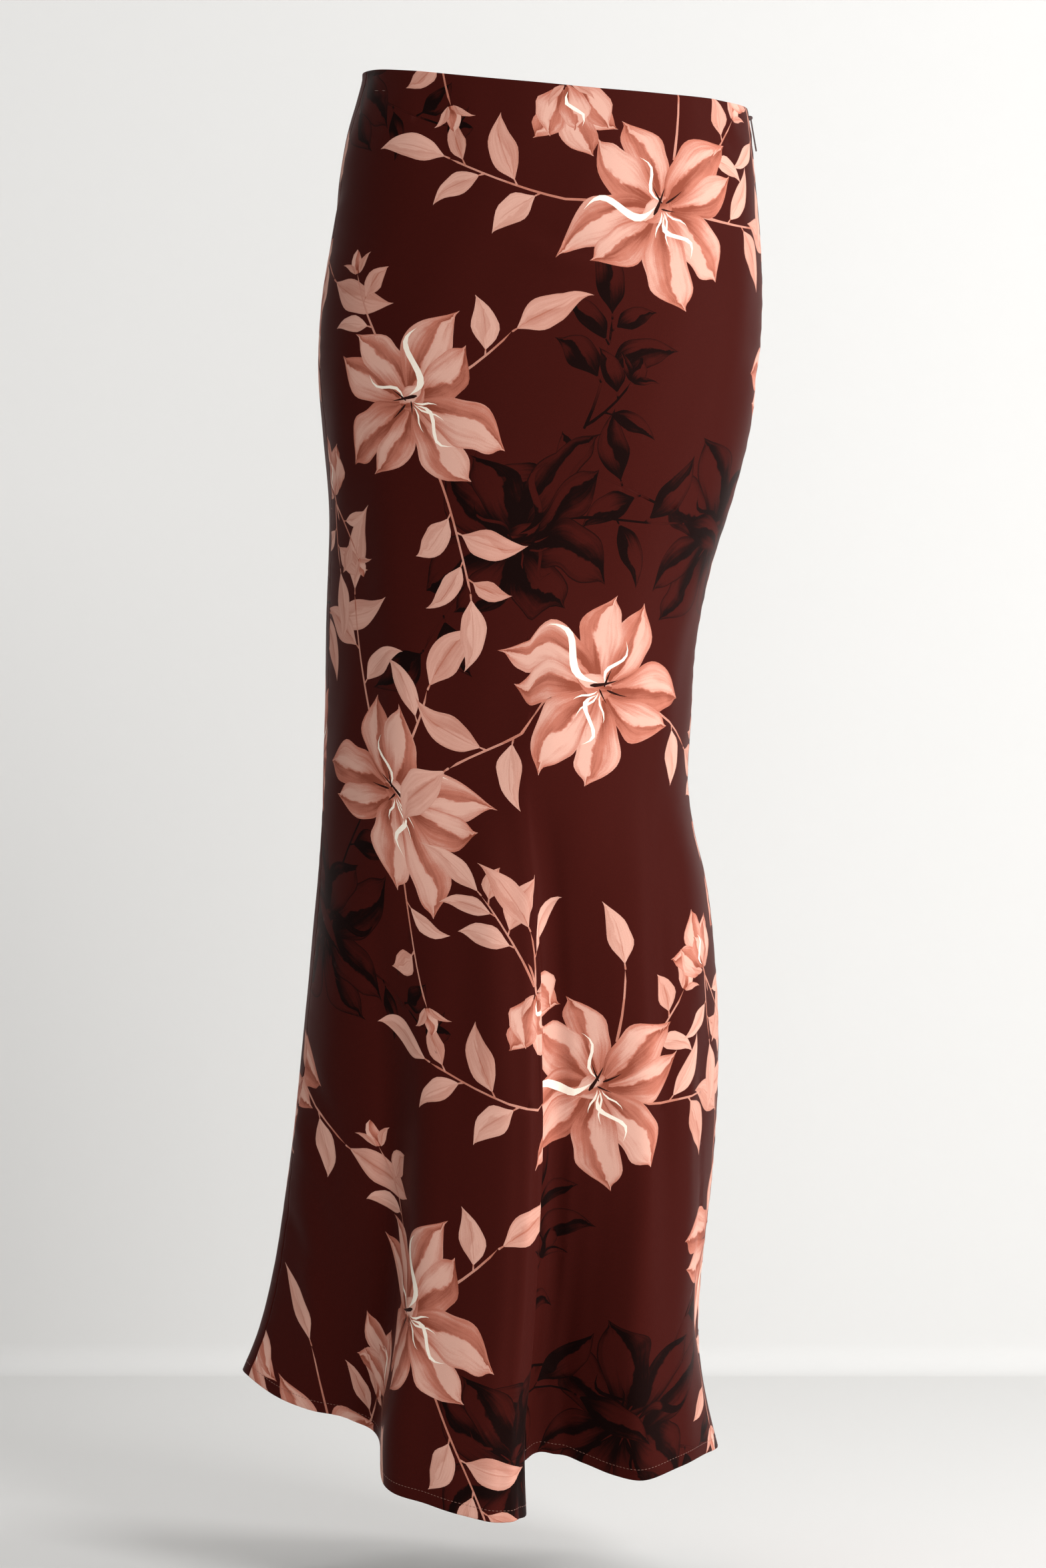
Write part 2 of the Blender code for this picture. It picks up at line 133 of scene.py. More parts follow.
# Soft creases: the side that they lie on, both ends (across and up), half-width, and height (troughs < 0).
CREASE_COLUMNS = ("side", "across_0", "up_0", "across_1", "up_1", "half", "height")
CREASES = (
    ("front", -0.022, -0.105, 0.040, -0.122, 0.0075, -0.0012),  # drag crease from the hip to the zip
    ("front", -0.020, -0.118, 0.046, -0.134, 0.0075, 0.0010),
    ("front", -0.090, 0.004, -0.072, -0.060, 0.0130, -0.0014),  # under the waist, left of the middle
    ("front", -0.062, 0.002, -0.056, -0.070, 0.0140, 0.0010),
    ("front", 0.100, 0.002, 0.136, -0.036, 0.0045, 0.0008),  # small ones by the top of the zip
    ("front", 0.100, -0.012, 0.132, -0.046, 0.0035, -0.0008),
    ("front", 0.112, -0.020, 0.126, -0.034, 0.0024, -0.0009),
    ("front", 0.024, -0.372, -0.028, -0.506, 0.0200, 0.0030),  # long soft ridge down to the front fold
    ("front", -0.046, -0.520, -0.040, -0.720, 0.0150, 0.0030),
    ("front", -0.004, -0.520, 0.000, -0.930, 0.0110, -0.0042),  # valley right of the front fold
    ("front", 0.074, -0.500, 0.080, -0.860, 0.0090, -0.0034),  # soft fold at the right
    ("front", 0.093, -0.520, 0.100, -0.860, 0.0090, 0.0026),
    ("front", -0.140, -0.240, -0.128, -0.500, 0.0150, -0.0026),
    ("front", -0.116, -0.260, -0.096, -0.520, 0.0180, 0.0022),
    ("front", -0.180, -0.700, -0.168, -0.900, 0.0090, 0.0026),  # band across the flare
    ("front", -0.196, -0.640, -0.150, -0.742, 0.0060, -0.0014),  # soft wrinkles slanting over the flare
    ("front", -0.200, -0.684, -0.156, -0.790, 0.0060, 0.0013),
    ("front", -0.206, -0.760, -0.160, -0.850, 0.0050, -0.0011),
    ("front", -0.126, -0.560, -0.116, -0.800, 0.0100, -0.0026),  # left of the front fold
    ("front", -0.080, -0.600, -0.082, -0.880, 0.0160, 0.0024),
    ("back", 0.060, -0.095, 0.010, -0.120, 0.0085, -0.0012),
    ("back", -0.070, -0.230, 0.020, -0.255, 0.0120, -0.0016),
    ("back", 0.080, -0.225, 0.010, -0.245, 0.0100, 0.0012),
    ("back", -0.020, -0.320, 0.000, -0.480, 0.0160, 0.0020),
    ("back", -0.095, -0.400, -0.090, -0.560, 0.0150, 0.0018),
    ("back", 0.060, -0.420, 0.066, -0.580, 0.0130, -0.0018),
    ("back", -0.100, 0.004, -0.084, -0.050, 0.0110, -0.0010),
    ("right", 0.040, -0.020, 0.066, -0.060, 0.0060, 0.0008),
    ("right", -0.040, -0.180, 0.030, -0.210, 0.0120, -0.0012),
    ("left", -0.040, -0.060, 0.010, -0.085, 0.0100, -0.0010),
    ("left", -0.020, -0.480, 0.010, -0.620, 0.0120, 0.0016),
)
CREASE_SIDES = {"front": (0, 1, -1), "back": (0, 1, 1), "right": (1, 0, 1), "left": (1, 0, -1)}

# Slow unevenness of the hang: waves round the body, waves down it, phase and height.
WAVES = (
    (5.0, 1.7, 0.4, 0.00045),
    (8.0, -2.6, 2.1, 0.00040),
    (13.0, 4.1, 4.4, 0.00025),
    (3.0, 6.3, 1.2, 0.00030),
    (17.0, 7.7, 3.0, 0.00014),
)


def smooth_through(at, places, values):
    """A smooth curve through the values at the places, read at each point of at."""
    slopes = np.gradient(values, places)
    i = np.clip(np.searchsorted(places, at) - 1, 0, len(places) - 2)
    span = places[i + 1] - places[i]
    t = (at - places[i]) / span
    start = (2 * t**3 - 3 * t**2 + 1) * values[i] + (t**3 - 2 * t**2 + t) * span * slopes[i]
    end = (3 * t**2 - 2 * t**3) * values[i + 1] + (t**3 - t**2) * span * slopes[i + 1]
    return start + end


def column(table, names, name):
    """One named column of a table."""
    return np.array([row[names.index(name)] for row in table])


def section(drop, name):
    """A side, front or back of the ring at each drop."""
    drops = column(SECTIONS, SECTION_COLUMNS, "drop")
    return smooth_through(np.clip(drop, drops[0], drops[-1]), drops, column(SECTIONS, SECTION_COLUMNS, name))


def round_hem(turn, name):
    """A column of the fold table at each turn, smooth all round the hem."""
    turns = column(FOLDS, FOLD_COLUMNS, "turn")
    values = column(FOLDS, FOLD_COLUMNS, name)
    whole = np.concatenate([turns - 360.0, turns, turns + 360.0])
    return smooth_through(turn % 360.0, whole, np.tile(values, 3))


def plain_ring(turn, drop):
    """x and y of the ring without folds."""
    left, right = section(drop, "left"), section(drop, "right")
    front, back = section(drop, "front"), section(drop, "back")
    across, along = np.cos(np.radians(turn)), np.sin(np.radians(turn))
    x = (left + right) / 2 + (right - left) / 2 * np.sign(across) * abs(across) ** (2 / ROUNDNESS)
    y = (front + back) / 2 + (back - front) / 2 * np.sign(along) * abs(along) ** (2 / ROUNDNESS)
    return x, y


def waist_height(turn):
    """z of the waist edge: tilted across, and dipping at the middle of the front."""
    x, _ = plain_ring(turn, np.zeros_like(turn))
    front = np.clip(-np.sin(np.radians(turn)), 0.0, 1.0)
    return SIDE_RISE - x * tan(WAIST_TILT) - FRONT_DIP * front**2


def cloth_points(turn, fall):
    """Points of the hanging cloth's outer face. fall is 0 at the waist edge and 1 at the hem."""
    hem = round_hem(turn, "z")
    z = waist_height(turn) * (1 - fall) + hem * fall
    x, y = plain_ring(turn, -z)
    plain_x, plain_y = plain_ring(turn, -hem)
    begins = round_hem(turn, "begins")
    depth = np.clip((-z - begins) / (-hem - begins), 0.0, 1.2) ** GROWTH
    x = x + depth * (round_hem(turn, "x") - plain_x)
    y = y + depth * (round_hem(turn, "y") - plain_y)
    return np.stack([x, y, z], axis=-1)


def ease(value, low, high):
    """0 below low and 1 above high, smooth between them."""
    share = np.clip((value - low) / (high - low), 0.0, 1.0)
    return share * share * (3 - 2 * share)


def crease_heights(points, out):
    """How far the creases lift each point of the cloth."""
    lift = np.zeros(len(points))
    for side, across_0, up_0, across_1, up_1, half, height in CREASES:
        axis, facing, sign = CREASE_SIDES[side]
        start = np.array((across_0, up_0))
        run = np.array((across_1, up_1)) - start
        flat = points[:, (axis, 2)] - start
        share = flat @ run / (run @ run)
        aside = np.linalg.norm(flat - np.clip(share, 0, 1)[:, None] * run, axis=1)
        ends = ease(share, -0.15, 0.35) * ease(1 - share, -0.15, 0.35)
        seen = ease(out[:, facing] * sign, 0.05, 0.45)
        lift += height * ends * seen * np.exp(-((aside / half) ** 2))
    return lift


def draped(turn, fall):
    """Points of the cloth with its creases, and the direction out of it at each."""
    points = cloth_points(turn, fall)
    along = cloth_points(turn + 0.2, fall) - cloth_points(turn - 0.2, fall)
    down = cloth_points(turn, fall + 0.001) - cloth_points(turn, fall - 0.001)
    out = np.cross(down, along)
    out /= np.linalg.norm(out, axis=-1, keepdims=True)
    lift = crease_heights(points, out)
    for round_body, down_body, phase, height in WAVES:
        lift += height * np.sin(radians(1) * turn * round_body + 2 * np.pi * down_body * fall + phase)
    return points + lift[:, None] * out, out


def measure_rings(start, end):
    """How far round the body each turn of a panel is from its first edge, at even falls."""
    turns = np.linspace(start, end, 900)
    falls = np.linspace(0.0, 1.0, 241)
    rings = cloth_points(turns[None, :], falls[:, None])
    steps = np.linalg.norm(np.diff(rings, axis=1), axis=2)
    runs = np.concatenate([np.zeros((len(falls), 1)), np.cumsum(steps, axis=1)], axis=1)
    return {"turns": turns, "falls": falls, "runs": runs}


def turn_at(rings, along, fall):
    """The turn that lies this far along the panel's ring, at each fall."""
    row = np.clip(fall, 0.0, 1.0) * (len(rings["falls"]) - 1)
    low = np.minimum(row.astype(int), len(rings["falls"]) - 2)
    share = row - low
    turn = np.empty_like(along)
    for i in np.unique(low):
        here = low == i
        first, second = (np.interp(along[here], rings["runs"][j], rings["turns"]) for j in (i, i + 1))
        turn[here] = first + share[here] * (second - first)
    return turn


def notch(fall):
    """Half the opening of the zip seam: wide at the slider and closed below it."""
    shut = np.clip(fall * HEM_DROP / NOTCH_DEPTH, 0.0, 1.0)
    return SEAM_GAP / 2 + (NOTCH_GAP - SEAM_GAP / 2) * (1 - shut**2) ** 2


# A panel is drawn on a flat board: across from its first side fold to its last, and down from the waist fold
# to the hem fold. Turnings lie outside that. Near both sides the board keeps true widths.
BOARD_WIDTH = 0.60
BOARD_LENGTH = HEM_DROP - 2 * TURN_RADIUS
TRUE_EDGE = 0.012
HALF_TURN = np.pi * TURN_RADIUS


def panel_reach(panel, fall):
    """Where a panel's first fold starts along the ring, and its width between the folds."""
    fall = np.clip(fall, 0.0, 1.0)
    whole = np.interp(fall, panel["rings"]["falls"], panel["rings"]["runs"][:, -1])
    first = notch(fall) if panel["zip_first"] else SEAM_GAP / 2
    last = SEAM_GAP / 2 if panel["zip_first"] else notch(fall)
    return first + TURN_RADIUS, whole - first - last - 2 * TURN_RADIUS


def board_to_ring(panel, across, fall):
    """Distance along the ring, from the panel's first edge, of a point of the board."""
    first, width = panel_reach(panel, fall)
    stretch = (width - 2 * TRUE_EDGE) / (BOARD_WIDTH - 2 * TRUE_EDGE)
    middle = TRUE_EDGE + (across - TRUE_EDGE) * stretch
    from_last = width - (BOARD_WIDTH - across)
    inner = np.where(across > BOARD_WIDTH - TRUE_EDGE, from_last, middle)
    return first + np.where(across < TRUE_EDGE, across, inner)


def ring_to_board(panel, along, fall):
    """The reverse of board_to_ring."""
    first, width = panel_reach(panel, fall)
    stretch = (width - 2 * TRUE_EDGE) / (BOARD_WIDTH - 2 * TRUE_EDGE)
    inner = along - first
    middle = TRUE_EDGE + (inner - TRUE_EDGE) / stretch
    from_last = BOARD_WIDTH - (width - inner)
    return np.where(inner < TRUE_EDGE, inner, np.where(inner > width - TRUE_EDGE, from_last, middle))


PUCKER_PITCH = 0.017  # of the faint ripples beside a sewn seam
PUCKER_HEIGHT = 0.00022
PUCKER_REACH = 0.009


def puckers(panel, along, fall):
    """Faint ripples where the side seams draw the cloth up."""
    first, width = panel_reach(panel, fall)
    aside = np.minimum(along - first, first + width - along)
    ripple = np.sin(2 * np.pi * fall * HEM_DROP / PUCKER_PITCH + 1.7 * np.sin(31.0 * fall))
    return PUCKER_HEIGHT * ripple * np.exp(-np.maximum(aside, 0.0) / PUCKER_REACH)


def turned(beyond):
    """How a fold carries cloth that lies beyond it: how far out, then how far in from the outer face."""
    angle = np.minimum(beyond, HALF_TURN) / TURN_RADIUS
    out = TURN_RADIUS * np.sin(angle) - np.maximum(beyond - HALF_TURN, 0.0)
    return out, TURN_RADIUS * (1 - np.cos(angle))


def hang(panel, across, down):
    """Points of the hanging panel for points of its board."""
    side_out, side_in = turned(np.maximum(np.maximum(-across, across - BOARD_WIDTH), 0.0))
    end_out, end_in = turned(np.maximum(np.maximum(-down, down - BOARD_LENGTH), 0.0))
    drop = TURN_RADIUS + np.clip(down, 0.0, BOARD_LENGTH) + np.where(down < 0, -end_out, end_out)
    fall = drop / HEM_DROP
    along = board_to_ring(panel, np.clip(across, 0.0, BOARD_WIDTH), fall)
    along = along + np.where(across < 0, -side_out, side_out)
    points, out = draped(turn_at(panel["rings"], along, fall), fall)
    return points + (puckers(panel, along, fall) - side_in - end_in)[:, None] * out


def board_to_cloth(panel, across, down):
    """Flat cloth coordinates of points of the board: right of the panel's middle line, and down."""
    drop = down + TURN_RADIUS
    fall = np.clip(drop / HEM_DROP, 0.0, 1.0)
    middle = np.interp(fall, panel["rings"]["falls"], panel["middle"])
    return board_to_ring(panel, across, fall) - middle, drop


def cloth_to_board(panel, right, drop):
    """The reverse of board_to_cloth."""
    fall = np.clip(drop / HEM_DROP, 0.0, 1.0)
    middle = np.interp(fall, panel["rings"]["falls"], panel["middle"])
    return ring_to_board(panel, right + middle, fall), drop - TURN_RADIUS


def start_panel(start, end, zip_first):
    """What is measured on a panel before it is drawn."""
    rings = measure_rings(start, end)
    middle_turn = (start + end) / 2
    middle = np.array([np.interp(middle_turn, rings["turns"], run) for run in rings["runs"]])
    return {"rings": rings, "middle": middle, "zip_first": zip_first}


# The print: an all-over floral. Half-widths of each painted shape along its length, as shares of its width.
PROFILE_PLACES = np.array((0.0, 0.08, 0.20, 0.36, 0.52, 0.68, 0.80, 0.88, 0.94, 1.0))
PROFILES = {
    "long": (0.14, 0.24, 0.46, 0.77, 0.97, 1.00, 0.80, 0.48, 0.17, 0.00),
    "broad": (0.16, 0.34, 0.66, 0.93, 1.00, 0.94, 0.70, 0.38, 0.12, 0.00),
    "round": (0.16, 0.30, 0.57, 0.86, 1.00, 1.00, 0.84, 0.54, 0.20, 0.00),
    "leaf": (0.06, 0.32, 0.74, 1.00, 0.97, 0.78, 0.52, 0.30, 0.12, 0.00),
    "slim": (0.10, 0.40, 0.80, 1.00, 0.92, 0.70, 0.48, 0.30, 0.14, 0.00),
    "bud": (0.30, 0.60, 0.90, 1.00, 0.94, 0.80, 0.64, 0.46, 0.28, 0.00),
    "stem": (0.70, 0.95, 0.82, 0.74, 0.68, 0.64, 0.62, 0.64, 0.74, 0.30),
    "gleam": (0.00, 0.30, 0.66, 0.96, 0.96, 0.70, 0.44, 0.26, 0.12, 0.00),
    "ink": (0.40, 0.90, 1.00, 0.86, 0.66, 0.50, 0.36, 0.26, 0.14, 0.00),
}
PETAL_KINDS = ("long", "broad", "round", "bud")
LEAF_KINDS = ("leaf", "slim", "stem")
EDGE_WAVE = {"long": 0.07, "broad": 0.08, "round": 0.09, "leaf": 0.05, "slim": 0.05, "bud": 0.04}
HOOK_STARTS = 0.66  # share of a petal's or leaf's length where its tip starts to turn aside
HOOK_REACH = 0.11  # of the length

# Painted shapes: kind, start x and y, direction, length, half-width, bend, tone and side of the fold. mm.
OPEN_BLOOM = (
    ("long", 1, 4, 96, 62, 15, 0.14, 0.62, 0.8),
    ("round", 4, 3, 48, 66, 17, -0.12, 0.50, -0.8),
    ("broad", -3, 3, 140, 60, 16, -0.14, 0.84, 0.7),
    ("long", 4, -1, 4, 60, 14, 0.16, 0.66, -0.7),
    ("broad", -4, 0, 184, 76, 17, 0.20, 0.70, -0.9),
    ("round", 3, -3, 318, 65, 16.5, -0.12, 0.86, 0.8),
    ("long", -3, -3, 226, 60, 15, -0.12, 0.58, 0.6),
    ("round", -1, -4, 270, 72, 17.5, 0.10, 0.78, -0.8),
    ("bud", 5, 7, 232, 26, 9, -0.14, 1.00, 0.6),
    ("gleam", -4, 1, 180, 52, 3.4, 0.30, 1.0, 0.0),
    ("gleam", 2, -5, 298, 38, 2.0, -0.34, 1.0, 0.0),
    ("gleam", 2, 4, 112, 36, 1.4, 0.26, 1.0, 0.0),
    ("ink", -6, -5, 56, 22, 1.3, 0.10, 0.0, 0.0),
    ("ink", 1, 3, 118, 14, 0.8, -0.10, 0.0, 0.0),
    ("ink", 4, 3, 26, 16, 0.8, 0.10, 0.0, 0.0),
    ("ink", 0, -1, 340, 11, 0.7, 0.10, 0.0, 0.0),
    ("gleam", 0, -3, 252, 20, 0.8, 0.10, 1.0, 0.0),
    ("gleam", 1, -3, 276, 26, 0.8, 0.12, 1.0, 0.0),
    ("gleam", 3, -3, 322, 20, 0.8, -0.14, 1.0, 0.0),
)
SIDE_BLOOM = (
    ("broad", -3, 2, 114, 46, 13, 0.12, 0.56, 0.7),
    ("broad", 4, 2, 60, 44, 13, -0.14, 0.50, -0.7),
    ("long", 0, 2, 88, 56, 14, 0.06, 0.72, 0.8),
    ("round", -5, 0, 136, 40, 13, -0.24, 0.84, -0.7),
    ("round", 5, 0, 44, 37, 13, 0.26, 0.74, 0.8),
    ("broad", 0, -1, 98, 35, 12, -0.10, 0.92, -0.7),
    ("gleam", 1, 3, 100, 30, 1.8, -0.30, 1.0, 0.0),
    ("slim", -3, -2, 156, 20, 3.4, -0.25, 0.66, 0.5),
    ("slim", 3, -2, 24, 20, 3.4, 0.25, 0.66, -0.5),
    ("stem", 0, -1, 262, 26, 1.5, 0.16, 0.50, 0.0),
)
BUD = (
    ("bud", 0, 0, 90, 18, 6.4, 0.06, 0.86, 0.5),
    ("slim", -2, 0, 118, 18, 3.2, 0.30, 0.70, -0.5),
    ("slim", 2, 0, 62, 16, 2.8, -0.36, 0.62, 0.5),
)
# Leaves along a stem: share of its length, turn from the stem, kind, length, half-width and bend.
SPRIGS = {
    "trailing": (
        (0.44, 44, "leaf", 40, 9.5, 0.12),
        (0.58, -50, "leaf", 46, 10.5, -0.14),
        (0.78, 38, "slim", 40, 7.5, 0.18),
        (0.90, -46, "leaf", 28, 7.0, -0.14),
        (1.0, 6, "leaf", 50, 9.5, 0.14),
    ),
    "pair": ((0.56, -46, "leaf", 38, 10.0, -0.14), (1.0, 12, "leaf", 56, 11.5, 0.16)),
    "fan": (
        (0.40, 54, "slim", 44, 8.5, 0.14),
        (0.64, -44, "leaf", 50, 11.0, -0.12),
        (1.0, 4, "leaf", 62, 11.0, 0.12),
    ),
    "bare": ((1.0, 8, "leaf", 44, 9.5, 0.12),),
    "budding": (
        (0.36, -54, "slim", 32, 6.5, -0.16),
        (0.66, 48, "leaf", 30, 7.5, 0.14),
        (1.0, 0, "bud", 18, 6.4, 0.06),
    ),
}
# Sprays: a bloom, and the stems round it: start x and y, direction, length, bend and leaves.
SPRAYS = {
    "great": (
        OPEN_BLOOM,
        (
            (-34, 3, 167, 118, -0.13, "trailing"),
            (30, -8, 341, 68, 0.14, "fan"),
            (14, 34, 74, 54, 0.10, "bare"),
            (26, 22, 28, 60, 0.20, "budding"),
        ),
    ),
    "climbing": (
        OPEN_BLOOM,
        (
            (-3, 34, 97, 108, 0.13, "fan"),
            (-26, 20, 147, 60, -0.16, "pair"),
            (20, -30, 297, 102, -0.14, "budding"),
        ),
    ),
    "leaning": (
        OPEN_BLOOM,
        (
            (30, -22, 320, 104, 0.14, "trailing"),
            (-26, -28, 228, 60, -0.12, "pair"),
            (-28, 24, 140, 66, 0.14, "budding"),
        ),
    ),
    "plain": (OPEN_BLOOM, ((32, 14, 22, 66, -0.16, "pair"), (-16, -32, 244, 84, 0.13, "fan"))),
    "nodding": (SIDE_BLOOM, ((1, -8, 276, 76, 0.17, "trailing"), (0, -6, 250, 44, 0.16, "pair"))),
    "rising": (SIDE_BLOOM, ((0, -8, 294, 62, -0.15, "fan"), (0, -8, 248, 66, 0.12, "budding"))),
    "sprig": ((), ((0, 0, 90, 74, 0.16, "trailing"), (0, 2, 58, 42, 0.20, "budding"))),
}
# One repeat of the print, in mm: spray, ink, place right and down, turn, size and hand. Shadows come first.
REPEAT = (340.0, 640.0)
LAYOUT = (
    ("leaning", "shadow", 150, 322, 196, 1.06, 1),
    ("plain", "shadow", 322, 2, 74, 1.04, -1),
    ("sprig", "shadow", 20, 250, 340, 1.10, 1),
    ("great", "pink", 66, 84, 8, 1.00, 1),
    ("climbing", "pink", 238, 206, 30, 1.00, -1),
    ("plain", "pink", 58, 432, 318, 1.04, 1),
    ("leaning", "pink", 232, 560, 84, 0.98, -1),
    ("nodding", "pink", 338, 322, 194, 0.90, 1),
    ("rising", "pink", 156, 640, 30, 0.80, -1),
)
LEAF_TONES = (0.95, 0.74, 0.88, 0.64)
STALK = 5.0
OUTLINE_STEPS = {"stem": 9.0, "gleam": 3.4, "ink": 4.0}
SPRAY_REACH = 210.0


def placed(rows, x, y, turn, size):
    """Painted shapes moved, turned and resized together."""
    right, up = cos(radians(turn)) * size, sin(radians(turn)) * size
    return [
        (kind, x + right * px - up * py, y + up * px + right * py, angle + turn, length * size, half * size)
        + (bend, tone, fold)
        for kind, px, py, angle, length, half, bend, tone, fold in rows
    ]


def stem_with_leaves(x, y, angle, length, bend, leaves):
    """A stem, and what grows along it."""
    rows = [("stem", x, y, angle, length, 1.15, bend, 0.5, 0.0)]
    for k, (share, off, kind, leaf_length, half, leaf_bend) in enumerate(leaves):
        along, side = share * length, bend * length * share**2
        at_x = x + cos(radians(angle)) * along - sin(radians(angle)) * side
        at_y = y + sin(radians(angle)) * along + cos(radians(angle)) * side
        heading = angle + float(np.degrees(np.arctan(2 * bend * share))) + off
        if kind == "bud":
            rows += placed(BUD, at_x, at_y, heading - 90, 1.0)
            continue
        tone, fold = LEAF_TONES[k % len(LEAF_TONES)], 0.6 if off > 0 else -0.6
        rows.append(("stem", at_x, at_y, heading, STALK + 2, 0.8, 0.0, 0.5, 0.0))
        at_x += cos(radians(heading)) * STALK
        at_y += sin(radians(heading)) * STALK
        rows.append((kind, at_x, at_y, heading, leaf_length, half, leaf_bend, tone, fold))
    return rows


def spray_shapes(name, hand):
    """All shapes of a spray, its stems first. hand is -1 for its mirror image."""
    bloom, stems = SPRAYS[name]
    rows = [row for stem in stems for row in stem_with_leaves(*stem[:5], SPRIGS[stem[5]])] + list(bloom)
    if hand > 0:
        return rows
    return [
        (kind, -x, y, 180 - angle, length, half, -bend, tone, -fold)
        for kind, x, y, angle, length, half, bend, tone, fold in rows
    ]


def print_shapes(left, right, top, bottom, shift):
    """The shapes of the print over a piece of cloth, those underneath first, as (ink, shape). mm."""
    shapes = []
    wide, high = REPEAT
    for spray, ink, lay_x, lay_y, turn, size, hand in LAYOUT:
        for i in range(-4, 5):
            for j in range(-2, 3):
                x = lay_x + i * wide + shift[0]
                y = lay_y + j * high + (high / 2 if i % 2 else 0.0) + shift[1]
                beside = left - SPRAY_REACH < x < right + SPRAY_REACH
                if beside and top - SPRAY_REACH < y < bottom + SPRAY_REACH:
                    shapes += [(ink, row) for row in placed(spray_shapes(spray, hand), x, -y, turn, size)]
    return shapes


def shape_frame(row):
    """Start, direction and left of a painted shape on the cloth, where down is positive. Metres."""
    _, x, y, angle = row[:4]
    ahead = np.array((cos(radians(angle)), -sin(radians(angle))))
    left = np.array((-sin(radians(angle)), -cos(radians(angle))))
    return np.array((x, -y)) / 1000, ahead, left


def shape_body(row, share):
    """Middle line of a painted shape, and its half-widths to the left and the right, at each share. mm."""
    kind, _, _, angle, length, half, bend, _, _ = row
    wide = np.maximum(smooth_through(share, PROFILE_PLACES, np.array(PROFILES[kind])), 0.0) * half
    if kind == "gleam":
        return bend * length / 2 * np.sin(2 * np.pi * share), wide, wide
    middle = bend * length * share**2
    wave = EDGE_WAVE.get(kind, 0.0)
    if wave:
        tip = np.maximum(share - HOOK_STARTS, 0.0) / (1 - HOOK_STARTS)
        middle = middle + np.sign(bend) * HOOK_REACH * length * tip**2
    turns = 2 * np.pi * (1.7 * share + radians(angle))
    return middle, wide * (1 + wave * np.sin(turns)), wide * (1 + wave * np.sin(1.4 * turns + length))


def shape_outline(row):
    """Points round a painted shape, on the cloth. Metres."""
    kind, _, _, _, length = row[:5]
    count = max(6, int(length / OUTLINE_STEPS.get(kind, 2.7)))
    even = np.linspace(0, 1, count)
    share = 0.5 * even + 0.25 * (1 - np.cos(np.pi * even))
    middle, left_wide, right_wide = shape_body(row, share)
    start, ahead, left = shape_frame(row)
    spine = start + (share * length)[:, None] / 1000 * ahead
    left_side = spine + (middle + left_wide)[:, None] / 1000 * left
    right_side = spine + (middle - right_wide)[:, None] / 1000 * left
    return np.concatenate([left_side, right_side[::-1][1:]])


def shape_coordinates(row, cloth):
    """How far along a shape each point of the cloth is, and how far to its left, -1 to 1."""
    length, half = row[4:6]
    start, ahead, left = shape_frame(row)
    share = np.clip((cloth - start) @ ahead / length * 1000, 0.0, 1.0)
    middle, left_wide, right_wide = shape_body(row, share)
    aside = (cloth - start) @ left * 1000 - middle
    aside = aside / np.maximum(np.where(aside > 0, left_wide, right_wide), 0.06 * half)
    return share, np.clip(aside, -1.0, 1.0)


def inside(points, loop):
    """Which points lie inside a closed loop."""
    found = np.zeros(len(points), bool)
    x, y = points[:, 0], points[:, 1]
    for (x0, y0), (x1, y1) in zip(loop, np.roll(loop, -1, axis=0)):
        if y0 != y1:
            crosses = (y0 > y) != (y1 > y)
            found ^= crosses & (x < (x1 - x0) * (y - y0) / (y1 - y0) + x0)
    return found


def board_lines(panel):
    """Places of the grid's columns and rows on the board, closer at the edges and at tight folds."""
    turning = HALF_TURN * np.linspace(0, 1, 6)
    side = np.concatenate([turning, HALF_TURN + np.array((0.5, 1.0)) * SIDE_ALLOWANCE])
    edge = np.array((0.0015, 0.0035, 0.0065, 0.0100))
    fine = np.linspace(0.0100, BOARD_WIDTH - 0.0100, 1200)
    fall = np.full_like(fine, 0.93)
    ring = cloth_points(turn_at(panel["rings"], board_to_ring(panel, fine, fall), fall), fall)
    steps = np.diff(ring, axis=0)
    heading = np.unwrap(np.arctan2(steps[:, 1], steps[:, 0]))
    bend = np.abs(np.gradient(heading)) / np.linalg.norm(steps, axis=1)
    weight = np.concatenate([[0.0], np.cumsum(1.0 + np.minimum(bend, 90.0) / 30.0)])
    count = int(weight[-1] / len(weight) * BOARD_WIDTH / 0.0070)
    middle = np.interp(np.linspace(0, weight[-1], count), weight, fine)[1:-1]
    columns = [-side[:0:-1], [0.0], edge, middle, BOARD_WIDTH - edge[::-1], BOARD_WIDTH + side]
    top = np.concatenate([turning, HALF_TURN + np.array((0.5, 1.0)) * WAIST_TURNING])
    low = np.concatenate([turning, HALF_TURN + np.array((0.5, 1.0)) * HEM_TURNING])
    near = np.array((0.0015, 0.0040, 0.0080, 0.0130))
    even = np.linspace(0.0130, BOARD_LENGTH - 0.0130, 150)[1:-1]
    rows = [-top[:0:-1], [0.0], near, even, BOARD_LENGTH - near[::-1], BOARD_LENGTH + low]
    return np.concatenate(columns), np.concatenate(rows)


def on_board(across, down):
    """Whether points are on the cut panel: its face, its turnings and its seam allowances."""
    slack = 1e-6
    face = (across > -slack) & (across < BOARD_WIDTH + slack)
    ends = face & (down > -HALF_TURN - WAIST_TURNING - slack)
    ends &= down < BOARD_LENGTH + HALF_TURN + HEM_TURNING + slack
    rolled = (across > -HALF_TURN - slack) & (across < BOARD_WIDTH + HALF_TURN + slack)
    rolled &= (down > -slack) & (down < BOARD_LENGTH + slack)
    reach = HALF_TURN + SIDE_ALLOWANCE + slack
    sides = (across > -reach) & (across < BOARD_WIDTH + reach) & (down > 0.0130 - slack)
    sides &= down < BOARD_LENGTH - 0.0130 + slack
    return ends | rolled | sides


